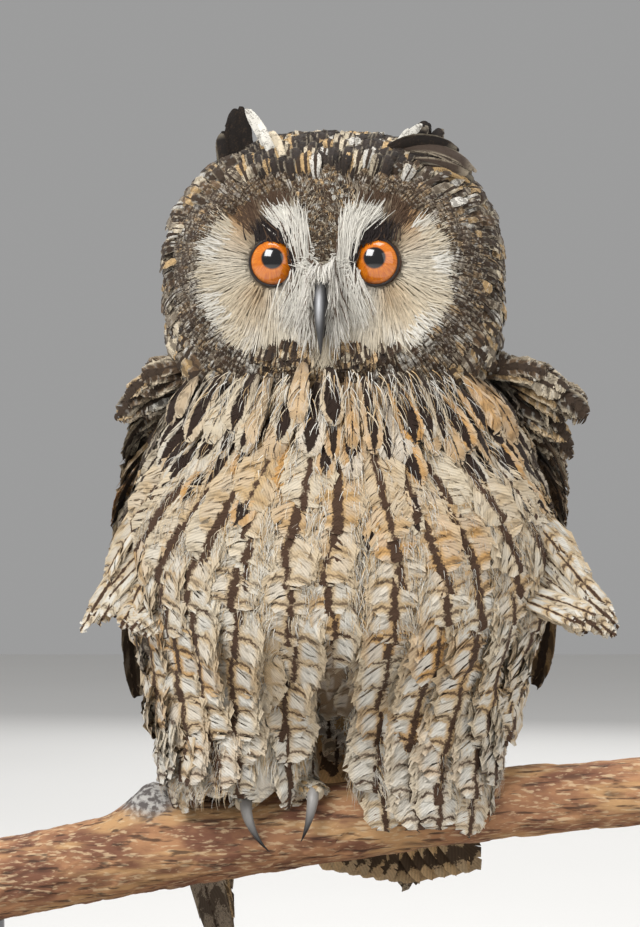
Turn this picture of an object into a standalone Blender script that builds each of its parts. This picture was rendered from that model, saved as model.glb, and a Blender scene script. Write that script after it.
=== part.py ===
"""Long-eared owl on a cut length of branch, life size, on a plain display stand.

Metres, +Z up. The owl faces -Y. The origin is on the floor under the middle of the base.
"""

import math

import bmesh
import bpy
from mathutils import Matrix, Vector

MM = 0.001
GAP = 0.3 * MM

# Display stand
BASE_LENGTH = 280 * MM
BASE_DEPTH = 196 * MM
BASE_THICKNESS = 14 * MM
BASE_CORNER = 42 * MM
BASE_EDGE = 2.5 * MM
ROD_RADIUS = 3.2 * MM
ROD_REACH = 121 * MM

# Branch: centre height and radius along its length, X to the viewer's right
PERCH_HALF_LENGTH = 136 * MM
PERCH_STATIONS = (
    (-136, 85.0, 14.0),
    (-75, 97.0, 14.6),
    (-7, 107.6, 14.2),
    (50, 114.5, 12.8),
    (103, 119.0, 11.7),
    (136, 121.5, 11.4),
)
KNOT_X = -66 * MM
KNOT_RADIUS = 11 * MM
KNOT_RISE = 9 * MM

# Body and neck: height, half width, half depth, middle X and middle Y
TRUNK_STATIONS = (
    (158, 48, 34, 2, 7),
    (180, 65, 49, 3, 4),
    (200, 72, 56, 2, 1),
    (222, 69, 60, 1, 0),
    (250, 60, 56, 0, 1),
    (262, 57.5, 52, -1, 2),
    (274, 56.5, 48.5, -1.5, 2),
    (300, 56, 46, -2, 2),
)
TRUNK_LOW = 157 * MM
TRUNK_HIGH = 310 * MM
TORSO_TOP = 258 * MM
HEAD_BOTTOM = 270 * MM

# Head, turned a little to the bird's right
HEAD_CENTRE = Vector((-2.0, 1.0, 300.0)) * MM
HEAD_YAW = math.radians(-5.0)
HEAD_HALF_WIDTH = 57 * MM
HEAD_FRONT = 46 * MM
HEAD_BACK = 47 * MM
HEAD_UP = 46.5 * MM
HEAD_DOWN = 72 * MM
HEAD_SQUARENESS = 2.4

# Face, in the head's own axes
EYE_SPREAD = 18 * MM
EYE_HEIGHT = 3.8 * MM
EYE_RADIUS = 9.2 * MM
EYE_OPENING = 7.4 * MM
DISH_DEPTH = 6.0 * MM
DISH_HALF_WIDTH = 27 * MM
DISH_HALF_HEIGHT = 34 * MM
LID_RADIUS = 1.1 * MM
EYE_STANDS_OUT = 0.8 * MM
RIM_RISE = 2.5 * MM
DISC_HALF_WIDTH = 45 * MM
DISC_HALF_HEIGHT = 35 * MM
DISC_HEIGHT = 1.0 * MM

# Bill, in the head's own axes: ridge lines from root to tip
UPPER_BILL = [Vector(p) * MM for p in ((0, -38, -6), (0, -54, -4), (0, -60, -18), (0, -53, -29))]
LOWER_BILL = [Vector(p) * MM for p in ((0, -38, -17), (0, -48, -19), (0, -52, -25))]
BILL_HALF_WIDTH = 4.3 * MM
BILL_HALF_DEPTH = 5.5 * MM
NOSTRIL = Vector((3.6, -51.5, -8.0)) * MM
NOSTRIL_RADIUS = 1.2 * MM

# Ear tufts: the core's root, middle and top, its half width, and the tips of its feathers
TUFTS = {
    "ear_tuft_left": (
        ((-27, -10, 330), (-29, -9, 338), (-31, -7, 347)),
        7.5,
        (
            (-40, -5, 345),
            (-39, -3, 351),
            (-36, -3, 356),
            (-34, -5, 358),
            (-31, -7, 354),
            (-27, -8, 348),
            (-23, -9, 342),
        ),
    ),
    "ear_tuft_right": (
        ((20, -9, 330), (23, -9, 338), (29, -8, 343)),
        8.0,
        (
            (16, -11, 347),
            (20, -12, 350),
            (25, -11, 352),
            (30, -9, 351),
            (36, -8, 348),
            (41, -7, 342),
            (43, -7, 336),
            (38, -10, 337),
        ),
    ),
}
TUFT_CORE_HALF_THICKNESS = 3.2 * MM
TUFT_VANE_HALF_WIDTH = 3.4 * MM

# Folded wings: leading and trailing edge, each from shoulder to tip
WING_EDGES = {
    "left": (
        ((-50, -12, 264), (-79, -16, 232), (-80, 10, 160), (-74, 44, 100), (-46, 80, 44)),
        ((-30, 50, 262), (-46, 66, 215), (-36, 66, 150), (-34, 76, 100), (-34, 82, 48)),
    ),
    "right": (
        ((50, -12, 264), (80, -16, 232), (82, 12, 150), (66, 50, 110), (30, 88, 76)),
        ((30, 50, 262), (46, 66, 215), (38, 68, 160), (26, 80, 118), (18, 90, 82)),
    ),
}
WING_BULGE = 7 * MM
WING_CORE_LENGTH = 0.5
WING_CORE_HALF_THICKNESS = 6.5 * MM
WING_OVERHANG = 0.96

# Tiers of wing feathers: count, then for the first and the last feather of the tier the share of
# the wing's length and the place across it (-1 leading, 1 trailing) of the root and of the tip,
# and the height over the wing's surface, then half width and rows of faces
WING_TIERS = {
    "primaries": (10, (0.38, 0.3), (0.34, -0.8), (0.80, 0.75), (1.0, -0.2), (2.6, -6.4), 7.5, 3),
    "secondaries": (6, (0.30, 0.9), (0.37, 0.4), (0.60, 1.0), (0.76, 0.85), (8.6, 3.6), 8.0, 3),
    "greater_coverts": (6, (0.24, 0.8), (0.26, -0.75), (0.47, 0.9), (0.54, -0.7), (9.6, 8.0), 8.2, 3),
    "median_coverts": (5, (0.13, 0.75), (0.14, -0.7), (0.33, 0.85), (0.37, -0.7), (10.4, 9.0), 9.0, 2),
}
WING_ROLL = math.radians(4)
WING_ROOT_SINK = 0.35

# Shoulder feathers that stand off the wing: tips, in order from front to back
SHOULDER_TIPS = {
    "left": ((-74, -8, 262), (-77, -2, 252), (-75, 4, 240), (-74, 10, 229), (-72, 18, 217)),
    "right": ((78, -6, 259), (87, 0, 249), (84, 6, 239), (81, 12, 230), (78, 20, 219)),
}
SHOULDER_ALONG = 0.09
SHOULDER_HALF_WIDTH = 7 * MM
SHOULDER_BOW = 5 * MM
SHOULDER_FACING = Vector((0, -0.8, 0.6))

# Tail: middle line from root to tip, then its feathers
TAIL_LINE = ((3, 34, 186), (12, 44, 132), (25, 58, 80))
TAIL_ROOT_HALF_WIDTH = 13 * MM
TAIL_TIP_HALF_WIDTH = 27 * MM
TAIL_PAIRS = 6
TAIL_STEP = 0.9 * MM
TAIL_HALF_WIDTH = 8.5 * MM
TAIL_CORE_LENGTH = 0.45
TAIL_CORE_HALF_THICKNESS = 5.5 * MM
TAIL_COVERTS = 4
TAIL_COVERT_LENGTH = 0.55

# Breast, belly and flank feathers: root height, count and widest angle of each tier
BREAST_TIERS = ((250, 8, 58), (232, 8, 60), (214, 8, 54), (196, 8, 50))
BREAST_LENGTH = 40 * MM
BREAST_HALF_WIDTH = 7.6 * MM
BREAST_LIFT = 4.5 * MM
BREAST_ROOT_SINK = 3.5 * MM
WIDEST_HEIGHT = 198 * MM
FLANK_ROOTS = ((234, 64), (224, 68), (214, 69), (205, 67), (197, 63), (190, 58))
FLANK_TIPS = {
    "left": ((-77, 203), (-82, 191), (-86, 177), (-78, 172), (-70, 165), (-63, 155)),
    "right": ((80, 199), (89, 186), (98, 174), (87, 171), (76, 165), (66, 155)),
}
FLANK_DEPTHS = (-13, -17, -21, -25, -28, -31)
FLANK_HALF_WIDTH = 8.5 * MM
FLANK_BOW = 6 * MM

# Feathers of the legs: lowest tips, then the root height of each tier and how far its tips end
# over the lowest ones
LEG_HEM = {"left": 118 * MM, "right": 110 * MM}
LEG_TIERS = ((174, 26), (153, 0))
LEG_VANE_SINK = 3 * MM
LEG_VANES = 5
LEG_WIDEST = math.radians(60)
LEG_HEM_CURVE = 24 * MM
LEG_VANE_HALF_WIDTH = 8 * MM
LEG_VANE_LIFT = 3.5 * MM

# Feathers round the face
RUFF_COUNT = 34
RUFF_FROM = 0.9
RUFF_TO = 1.17
RUFF_HALF_WIDTH = 3.4 * MM
RUFF_STANDS_OUT = 1.6 * MM
RUFF_LOWEST = -26 * MM

# A single feather
VANE_THICKNESS = 0.6 * MM
VANE_ROWS = 3
RUFF_ROWS = 2

# Legs and feet
LEG_TOP_X = {"left": -32 * MM, "right": 32 * MM}
LEG_TOP = 206 * MM
LEG_SIZES = ((0.0, 27, 26), (0.4, 28, 27), (0.75, 26, 25), (1.0, 20, 20))
FOOT_X = {"left": -21 * MM, "right": 31 * MM}
ANKLE_HEIGHT = 15 * MM
SHANK_RADIUS = 6.5 * MM
TOE_RADIUS = 4.4 * MM
TALON_RADIUS = 2.5 * MM
TOES = (
    ("inner", -12.5, 48, 17.0),
    ("outer", 12.5, 48, 17.0),
    ("back_inner", -9.0, -62, 13.0),
    ("back_outer", 9.0, -62, 13.0),
)

SIDES = {"left": -1, "right": 1}


def tint(name, colour, roughness, metallic=0.0):
    """A plain material with one colour."""
    made = bpy.data.materials.new(name)
    made.use_nodes = True
    shader = made.node_tree.nodes["Principled BSDF"]
    shader.inputs["Base Color"].default_value = (*colour, 1.0)
    shader.inputs["Roughness"].default_value = roughness
    shader.inputs["Metallic"].default_value = metallic
    return made


def smoothed(stations, at):
    """Values at a key, on a smooth curve through rows whose first column is the key."""
    last = len(stations) - 1
    at = min(max(at, stations[0][0]), stations[last][0])
    low = 0
    while low < last - 1 and at > stations[low + 1][0]:
        low += 1
    before, here, there, after = (
        stations[min(max(row, 0), last)] for row in (low - 1, low, low + 1, low + 2)
    )
    span = there[0] - here[0]
    t = (at - here[0]) / span
    found = []
    for a, b, c, d in zip(before[1:], here[1:], there[1:], after[1:]):
        start = (c - a) * span / max(there[0] - before[0], 1e-9)
        end = (d - b) * span / max(after[0] - here[0], 1e-9)
        found.append(
            b * (2 * t**3 - 3 * t**2 + 1)
            + start * (t**3 - 2 * t**2 + t)
            + c * (-2 * t**3 + 3 * t**2)
            + end * (t**3 - t**2)
        )
    return found


def bezier(points, t):
    """A point on the smooth curve that a few control points give."""
    points = [Vector(p) for p in points]
    while len(points) > 1:
        points = [a.lerp(b, t) for a, b in zip(points, points[1:])]
    return points[0]


def scene_object(name, bm, material):
    """Makes a mesh object from a bmesh, with its faces pointing out."""
    bmesh.ops.recalc_face_normals(bm, faces=bm.faces)
    if bm.calc_volume(signed=True) < 0:
        bmesh.ops.reverse_faces(bm, faces=bm.faces)
    mesh = bpy.data.meshes.new(name)
    bm.to_mesh(mesh)
    bm.free()
    mesh.materials.append(material)
    made = bpy.data.objects.new(name, mesh)
    PARTS.objects.link(made)
    return made


def shaped_sphere(name, place, segments, rings, material, turn=None):
    """A sphere whose every point is moved to where place puts its direction."""
    bm = bmesh.new()
    bmesh.ops.create_uvsphere(bm, u_segments=segments, v_segments=rings, radius=1.0)
    if turn is not None:
        bmesh.ops.transform(bm, matrix=turn, verts=bm.verts)
    for vert in bm.verts:
        vert.co = place(vert.co.copy())
    return scene_object(name, bm, material)


def bent_form(name, section, segments, rings, material):
    """A closed form along a line with blunt ends. section gives, for a share of its length, its
    middle and its half width, half thickness and bulge as vectors."""

    def place(unit):
        round_off = math.hypot(unit.x, unit.y)
        if round_off < 1e-5:
            middle, _, _, bulge = section(round((unit.z + 1) / 2))
            return middle + bulge
        middle, across, thick, bulge = section((unit.z + 1) / 2)
        share = round_off**-0.5
        return (
            middle
            + across * unit.x * share
            + thick * unit.y * share
            + bulge * (1 - (unit.x * share) ** 2)
        )

    return shaped_sphere(name, place, segments, rings, material)


def tube(name, points, radii, sides, material):
    """A closed round tube through points, with a radius at each."""
    curve = bpy.data.curves.new(name, "CURVE")
    curve.dimensions = "3D"
    curve.bevel_depth = 1.0
    curve.bevel_resolution = sides // 2 - 2
    curve.use_fill_caps = True
    spline = curve.splines.new("POLY")
    spline.points.add(len(points) - 1)
    for spot, point, radius in zip(spline.points, points, radii):
        spot.co = (*point, 1.0)
        spot.radius = radius
    guide = bpy.data.objects.new(name + "_line", curve)
    PARTS.objects.link(guide)
    bpy.context.view_layer.update()
    shape = guide.evaluated_get(bpy.context.evaluated_depsgraph_get())
    bm = bmesh.new()
    bm.from_mesh(bpy.data.meshes.new_from_object(shape))
    bpy.data.objects.remove(guide)
    bmesh.ops.remove_doubles(bm, verts=bm.verts, dist=0.01 * MM)
    bmesh.ops.triangulate(bm, faces=[f for f in bm.faces if len(f.verts) > 4])
    return scene_object(name, bm, material)


def apply_modifiers(obj):
    """Gives an object the mesh that its modifiers make, and drops them."""
    bpy.context.view_layer.update()
    shape = obj.evaluated_get(bpy.context.evaluated_depsgraph_get())
    obj.data = bpy.data.meshes.new_from_object(shape)
    obj.modifiers.clear()


def keep_largest(obj):
    """Keeps only the largest closed surface of a mesh."""
    bm = bmesh.new()
    bm.from_mesh(obj.data)
    islands = []
    waiting = set(bm.faces)
    while waiting:
        found = {waiting.pop()}
        edge_of_island = list(found)
        while edge_of_island:
            face = edge_of_island.pop()
            for edge in face.edges:
                for other in edge.link_faces:
                    if other in waiting:
                        waiting.remove(other)
                        found.add(other)
                        edge_of_island.append(other)
        islands.append(found)
    islands.sort(key=lambda island: sum(face.calc_area() for face in island))
    loose = [face for island in islands[:-1] for face in island]
    if loose:
        bmesh.ops.delete(bm, geom=loose, context="FACES")
    bm.to_mesh(obj.data)
    bm.free()


def combine(obj, others, operation, solver="EXACT"):
    """Joins others to obj, or cuts them from it, and removes them."""
    cutters = bpy.data.collections.new(obj.name + "_pieces")
    for other in others:
        PARTS.objects.unlink(other)
        cutters.objects.link(other)
    bpy.context.scene.collection.children.link(cutters)
    step = obj.modifiers.new(operation.title(), "BOOLEAN")
    step.operation = operation
    step.operand_type = "COLLECTION"
    step.collection = cutters
    step.solver = solver
    apply_modifiers(obj)
    for other in others:
        bpy.data.objects.remove(other)
    bpy.data.collections.remove(cutters)
    keep_largest(obj)


def grown(obj, by=GAP):
    """A copy of obj that is larger all round by a distance, for cutting its neighbour."""
    bm = bmesh.new()
    bm.from_mesh(obj.data)
    bm.normal_update()
    moved = [vert.co + vert.normal * by * vert.calc_shell_factor() for vert in bm.verts]
    for vert, place in zip(bm.verts, moved):
        vert.co = place
    return scene_object(obj.name + "_grown", bm, obj.data.materials[0])


def trim_flat(obj, height, keep_above):
    """Cuts obj with a level plane and closes the cut."""
    bm = bmesh.new()
    bm.from_mesh(obj.data)
    bmesh.ops.bisect_plane(
        bm,
        geom=[*bm.verts, *bm.edges, *bm.faces],
        plane_co=(0, 0, height),
        plane_no=(0, 0, 1),
        clear_inner=keep_above,
        clear_outer=not keep_above,
    )
    bmesh.ops.holes_fill(bm, edges=[e for e in bm.edges if e.is_boundary])
    bmesh.ops.triangulate(bm, faces=[f for f in bm.faces if len(f.verts) > 4])
    bmesh.ops.recalc_face_normals(bm, faces=bm.faces)
    bm.to_mesh(obj.data)
    bm.free()


def perch_at(x):
    """Centre and radius of the branch at a place along X."""
    height, radius = smoothed(PERCH_STATIONS, x / MM)
    return Vector((x, 0, height * MM)), radius * MM


def trunk_point(angle, height, swell=0.0):
    """A point on the body's surface. Angle 0 is the bird's front and 90 the viewer's right."""
    half_width, half_depth, x, y = smoothed(TRUNK_STATIONS, height / MM)
    share = (height - TRUNK_LOW) / (TRUNK_HIGH - TRUNK_LOW) * 2 - 1
    round_off = max(1 - share * share, 0) ** 0.25
    return Vector(
        (
            x * MM + (half_width * MM * round_off + swell) * math.sin(angle),
            y * MM - (half_depth * MM * round_off + swell) * math.cos(angle),
            height,
        )
    )


def head_matrix():
    """Carries the head's own axes to the model's."""
    return Matrix.Translation(HEAD_CENTRE) @ Matrix.Rotation(HEAD_YAW, 4, "Z")


def face_relief(x, z):
    """How far the face stands back at a place, in the head's own axes: two dishes and a raised rim."""
    side = math.copysign(EYE_SPREAD, x)
    across = (x - side) / DISH_HALF_WIDTH
    up = (z - EYE_HEIGHT) / DISH_HALF_HEIGHT
    dish = max(1 - across * across - up * up, 0)
    ridge = min(abs(x) / EYE_SPREAD, 1)
    rim = math.hypot(x / DISC_HALF_WIDTH, (z - DISC_HEIGHT) / DISC_HALF_HEIGHT)
    return DISH_DEPTH * dish * (0.25 + 0.75 * ridge) - RIM_RISE * math.exp(-(((rim - 1) / 0.09) ** 2))


def head_surface(direction):
    """The head's outer form in its own axes: a squared ball with a dished face."""
    x, y, z = direction
    half = (HEAD_HALF_WIDTH, HEAD_FRONT if y < 0 else HEAD_BACK, HEAD_UP if z > 0 else HEAD_DOWN)
    reach = sum(abs(part / size) ** HEAD_SQUARENESS for part, size in zip(direction, half))
    point = Vector((x, y, z)) * reach ** (-1 / HEAD_SQUARENESS)
    if y < 0:
        point.y += face_relief(point.x, point.z) * min(-y / 0.5, 1)
    return point


def face_depth(x, z):
    """Depth of the face's surface at a place, in the head's own axes."""
    height = HEAD_UP if z > 0 else HEAD_DOWN
    left = 1 - abs(x / HEAD_HALF_WIDTH) ** HEAD_SQUARENESS - abs(z / height) ** HEAD_SQUARENESS
    return -HEAD_FRONT * left ** (1 / HEAD_SQUARENESS) + face_relief(x, z)


def eye_centre(side):
    """Centre of an eyeball in the head's own axes."""
    x = side * EYE_SPREAD
    rest = math.sqrt(EYE_RADIUS**2 - EYE_OPENING**2)
    return Vector((x, face_depth(x, EYE_HEIGHT) + rest - EYE_STANDS_OUT, EYE_HEIGHT))


def make_stand():
    """Flat wooden base and two short rods that carry the branch."""
    bm = bmesh.new()
    bmesh.ops.create_cube(bm, size=1.0)
    bmesh.ops.scale(bm, vec=(BASE_LENGTH, BASE_DEPTH, BASE_THICKNESS), verts=bm.verts)
    bmesh.ops.translate(bm, vec=(0, 0, BASE_THICKNESS / 2), verts=bm.verts)
    upright = [e for e in bm.edges if abs(e.verts[0].co.z - e.verts[1].co.z) > MM]
    bmesh.ops.bevel(
        bm, geom=upright, offset=BASE_CORNER, segments=6, affect="EDGES", profile=0.5, material=-1
    )
    top = [e for e in bm.edges if all(v.co.z > BASE_THICKNESS - MM for v in e.verts)]
    bmesh.ops.bevel(
        bm, geom=top, offset=BASE_EDGE, segments=1, affect="EDGES", profile=0.5, material=-1
    )
    scene_object("stand_base", bm, WOOD)
    for side_name, side in SIDES.items():
        x = side * ROD_REACH
        centre, _ = perch_at(x)
        ends = [Vector((x, 0, BASE_THICKNESS + GAP)), centre]
        rod = tube(f"stand_rod_{side_name}", ends, [ROD_RADIUS] * 2, 12, STEEL)
        combine(rod, [grown(bpy.data.objects["perch"])], "DIFFERENCE")


def make_perch():
    """The branch, with a knot's hump on its upper side."""
    count = 14
    places = [PERCH_HALF_LENGTH * (2 * i / count - 1) for i in range(count + 1)]
    line = [perch_at(x)[0] for x in places]
    radii = [perch_at(x)[1] for x in places]
    perch = tube("perch", line, radii, 14, BARK)
    for vert in perch.data.vertices:
        centre, radius = perch_at(min(max(vert.co.x, -PERCH_HALF_LENGTH), PERCH_HALF_LENGTH))
        if abs(vert.co.x) > PERCH_HALF_LENGTH - 1.5 * MM:
            vert.co.x = math.copysign(PERCH_HALF_LENGTH, vert.co.x)
        up = max(vert.co.z - centre.z, 0) / radius
        near = math.exp(-(((vert.co.x - KNOT_X) / KNOT_RADIUS) ** 2))
        vert.co.z += KNOT_RISE * near * up**2
    return perch


def make_torso():
    """Breast, belly and back in one form, and the neck above it."""

    def place(unit):
        height = TRUNK_LOW + (unit.z + 1) / 2 * (TRUNK_HIGH - TRUNK_LOW)
        return trunk_point(math.atan2(unit.x, -unit.y), height)

    def poles(unit):
        if abs(unit.z) > 0.9999:
            end = TRUNK_HIGH if unit.z > 0 else TRUNK_LOW
            row = smoothed(TRUNK_STATIONS, end / MM)
            return Vector((row[2] * MM, row[3] * MM, end))
        return place(unit)

    torso = shaped_sphere("torso", poles, 26, 18, PLUMAGE)
    trim_flat(torso, TORSO_TOP - GAP / 2, keep_above=False)
    neck = shaped_sphere("neck", poles, 28, 22, PLUMAGE)
    trim_flat(neck, TORSO_TOP + GAP / 2, keep_above=True)
    trim_flat(neck, HEAD_BOTTOM - GAP / 2, keep_above=False)
    return torso, neck


def vane_line(root, middle, tip):
    """The middle line of a feather, bent towards a third point."""
    return lambda t: bezier((root, middle, tip), t)


def vane(line, outward, half_width, rows=VANE_ROWS, roll=0.0):
    """One feather: a closed blade that is thickest at its root and rounded at its tip. line and
    outward give its middle and the side that faces out, for a share of its length."""
    bm = bmesh.new()
    bmesh.ops.create_grid(bm, x_segments=1, y_segments=rows, size=1.0)
    bmesh.ops.triangulate(bm, faces=bm.faces)
    inner = list(bm.verts)
    made = bmesh.ops.extrude_face_region(bm, geom=bm.faces[:])
    outer = [item for item in made["geom"] if isinstance(item, bmesh.types.BMVert)]
    for verts, level in ((inner, 0.0), (outer, VANE_THICKNESS)):
        for vert in verts:
            share = (vert.co.y + 1) / 2
            t = share * (1.5 - 0.5 * share)
            ahead = (line(min(t + 0.02, 1)) - line(max(t - 0.02, 0))).normalized()
            across = ahead.cross(outward(t)).normalized()
            up = across.cross(ahead)
            leaf = min(0.35 + 2.2 * t, 1.0) * (1 - 0.6 * (max(0, t - 0.7) / 0.3) ** 2)
            sideways = across * math.cos(roll) + up * math.sin(roll)
            reach = vert.co.x * half_width * leaf
            vert.co = line(t) + sideways * reach + up * level * (1.15 - 0.35 * t)
    return scene_object("vane", bm, PLUMAGE)


def make_ruff():
    """Short feathers round the rim of the face, as far down as the neck leaves free."""
    made = []
    for number in range(RUFF_COUNT):
        angle = math.tau * (number + 0.5) / RUFF_COUNT
        rim = Vector((DISC_HALF_WIDTH * math.sin(angle), 0, DISC_HALF_HEIGHT * math.cos(angle)))
        if rim.z < RUFF_LOWEST:
            continue

        def line(t, rim=rim):
            spot = rim * (RUFF_FROM + (RUFF_TO - RUFF_FROM) * t)
            z = spot.z + DISC_HEIGHT
            depth = face_depth(spot.x, z) - RUFF_STANDS_OUT * (2 * t - 1)
            return head_matrix() @ Vector((spot.x, depth, z))

        def outward(t, rim=rim):
            return Vector((rim.x / DISC_HALF_WIDTH, -2.5, rim.z / DISC_HALF_HEIGHT)).normalized()

        made.append(vane(line, outward, RUFF_HALF_WIDTH, RUFF_ROWS))
    return made


def make_lid(side):
    """The ring of bare lid round one eye."""
    bm = bmesh.new()
    bmesh.ops.create_circle(bm, segments=6, radius=LID_RADIUS)
    bmesh.ops.rotate(bm, matrix=Matrix.Rotation(math.radians(90), 3, "X"), verts=bm.verts)
    bmesh.ops.translate(bm, vec=(EYE_OPENING + LID_RADIUS * 0.6, 0, 0), verts=bm.verts)
    ring = [*bm.verts, *bm.edges]
    bmesh.ops.spin(bm, geom=ring, axis=(0, 0, 1), angle=math.tau, steps=16, use_merge=True)
    bmesh.ops.remove_doubles(bm, verts=bm.verts, dist=0.01 * MM)
    face_forward = Matrix.Rotation(math.radians(90), 4, "X")
    depth = face_depth(side * EYE_SPREAD, EYE_HEIGHT)
    place = Matrix.Translation((side * EYE_SPREAD, depth, EYE_HEIGHT))
    bmesh.ops.transform(bm, matrix=head_matrix() @ place @ face_forward, verts=bm.verts)
    return scene_object("lid", bm, PLUMAGE)


def make_head():
    """Skull and facial disc with its ruff and lids, and the two eyes. Gives the bare skull, for
    cutting what meets it."""
    pole_to_face = Matrix.Rotation(math.radians(90), 4, "X")
    head = shaped_sphere("head", head_surface, 30, 19, PLUMAGE, turn=pole_to_face)
    head.data.transform(head_matrix())
    trim_flat(head, HEAD_BOTTOM + GAP / 2, keep_above=True)
    core = head.copy()
    core.data = head.data.copy()
    combine(head, [*make_ruff(), *(make_lid(side) for side in SIDES.values())], "UNION")
    for side_name, side in SIDES.items():
        centre = head_matrix() @ eye_centre(side)
        eye = shaped_sphere(
            f"eye_{side_name}", lambda unit: centre + unit * EYE_RADIUS, 14, 9, EYE
        )
        combine(head, [grown(eye)], "DIFFERENCE")
    return core


def bill_section(line, half_width, half_depth):
    """Sections of a bill: a line in the head's own axes, with half sizes that taper to its tip."""

    def section(t):
        ahead = bezier(line, min(t + 0.02, 1.0)) - bezier(line, max(t - 0.02, 0.0))
        taper = 1 - 0.86 * t**1.6
        across = Vector((half_width * taper, 0, 0))
        thick = across.cross(ahead).normalized() * half_depth * taper
        turn = head_matrix().to_3x3()
        return head_matrix() @ bezier(line, t), turn @ across, turn @ thick, Vector()

    return section


def make_bill(skull):
    """Upper and lower bill with the line of the mouth between them, and the nostrils."""
    upper = bent_form(
        "bill_upper", bill_section(UPPER_BILL, BILL_HALF_WIDTH, BILL_HALF_DEPTH), 14, 12, HORN
    )
    nostrils = []
    for side in SIDES.values():
        spot = head_matrix() @ Vector((side * NOSTRIL[0], NOSTRIL[1], NOSTRIL[2]))
        nostrils.append(
            shaped_sphere("nostril", lambda unit: spot + unit * NOSTRIL_RADIUS, 6, 4, HORN)
        )
    combine(upper, [*nostrils, grown(skull)], "DIFFERENCE")
    lower = bent_form(
        "bill_lower",
        bill_section(LOWER_BILL, 0.8 * BILL_HALF_WIDTH, 0.55 * BILL_HALF_DEPTH),
        12,
        8,
        HORN,
    )
    combine(lower, [grown(upper), grown(skull)], "DIFFERENCE")


def make_tufts(skull):
    """The two ear tufts, feather by feather: the left one up, the right one blown over."""
    for name, (core_line, core_half_width, tips) in TUFTS.items():
        core_line = [Vector(point) * MM for point in core_line]

        def section(t):
            across = Vector((core_half_width * MM * (1 - 0.5 * t), 0, 0))
            return bezier(core_line, t), across, Vector((0, TUFT_CORE_HALF_THICKNESS, 0)), Vector()

        tuft = bent_form(name, section, 8, 6, DARK_PLUMAGE)
        vanes = []
        for number, tip in enumerate(tips):
            place = 2 * number / (len(tips) - 1) - 1
            tip = Vector(tip) * MM
            root = core_line[1] + Vector((place * core_half_width * 0.5 * MM, 0, 0))
            step = (number % 2 - 0.5) * 2 * VANE_THICKNESS
            root.y += step
            tip.y += step
            bow = Vector((0, 0, 0.25 * (tip - root).length))
            line = vane_line(root, (root + tip) / 2 + bow, tip)
            vanes.append(vane(line, lambda t: Vector((0, -1, 0)), TUFT_VANE_HALF_WIDTH))
        combine(tuft, vanes, "UNION")
        combine(tuft, [grown(skull)], "DIFFERENCE")


def wing_surface(side_name):
    """The outer surface of a folded wing, from shoulder to tip and from front to back."""
    side = SIDES[side_name]
    lead, trail = ([Vector(p) * MM for p in edge] for edge in WING_EDGES[side_name])

    def place(along, over):
        front, back = bezier(lead, along), bezier(trail, along)
        across = (back - front) / 2
        ahead = bezier(lead, min(along + 0.02, 1)) - bezier(lead, max(along - 0.02, 0))
        outward = across.cross(ahead).normalized() * -side
        bulge = WING_BULGE * (1 - along) * (1 - over * over)
        return (front + back) / 2 + across * over + outward * bulge, outward

    return place


def tier(place, spec, roll):
    """One row of feathers on a surface, each a little over the next."""
    count, first_root, last_root, first_tip, last_tip, levels, half_width, rows = spec
    made = []
    for number in range(count):
        share = number / (count - 1)
        root = Vector(first_root).lerp(Vector(last_root), share)
        tip = Vector(first_tip).lerp(Vector(last_tip), share)
        level = levels[0] + (levels[1] - levels[0]) * share

        def line(t, root=root, tip=tip, level=level):
            point, outward = place(*root.lerp(tip, t))
            return point + outward * level * MM * (WING_ROOT_SINK + (1 - WING_ROOT_SINK) * t**0.5)

        def outward(t, root=root, tip=tip):
            return place(*root.lerp(tip, t))[1]

        made.append(vane(line, outward, half_width * MM, rows, roll))
    return made


def make_wings(torso, neck):
    """The folded wings: a core to half their length, then tiers of feathers."""
    for side_name, side in SIDES.items():
        place = wing_surface(side_name)

        def section(t):
            middle, outward = place(t * WING_CORE_LENGTH, 0)
            front, back = (place(t * WING_CORE_LENGTH, edge)[0] for edge in (-1, 1))
            across = (back - front) / 2 * WING_OVERHANG
            bulge = middle - (front + back) / 2
            thick = outward * WING_CORE_HALF_THICKNESS
            return (front + back) / 2, across, thick, bulge

        wing = bent_form(f"wing_{side_name}", section, 14, 10, DARK_PLUMAGE)
        vanes = []
        for spec in WING_TIERS.values():
            vanes += tier(place, spec, side * WING_ROLL)
        for number, tip in enumerate(SHOULDER_TIPS[side_name]):
            over = -0.7 + 1.1 * number / (len(SHOULDER_TIPS[side_name]) - 1)
            root, outward = place(SHOULDER_ALONG, over)
            tip = Vector(tip) * MM
            line = vane_line(root, (root + tip) / 2 + outward * SHOULDER_BOW, tip)
            vanes.append(vane(line, lambda t: SHOULDER_FACING, SHOULDER_HALF_WIDTH))
        combine(wing, vanes, "UNION", "MANIFOLD")
        combine(wing, [grown(torso), grown(neck)], "DIFFERENCE", "MANIFOLD")


def tail_place(along, over, level):
    """A point of the tail, by its place along and across it and its height over its middle."""
    line = [Vector(point) * MM for point in TAIL_LINE]
    ahead = bezier(line, min(along + 0.02, 1)) - bezier(line, max(along - 0.02, 0))
    outward = Vector((1, 0, 0)).cross(ahead).normalized()
    half_width = TAIL_ROOT_HALF_WIDTH + (TAIL_TIP_HALF_WIDTH - TAIL_ROOT_HALF_WIDTH) * along
    return bezier(line, along) + Vector((half_width * over, 0, 0)) + outward * level, outward


def tail_vane(start, end, level, half_width):
    """A tail feather between two places along and across the tail."""
    start, end = Vector(start), Vector(end)

    def line(t):
        return tail_place(*start.lerp(end, t), level)[0]

    def outward(t):
        return tail_place(*start.lerp(end, t), level)[1]

    return vane(line, outward, half_width)


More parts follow.
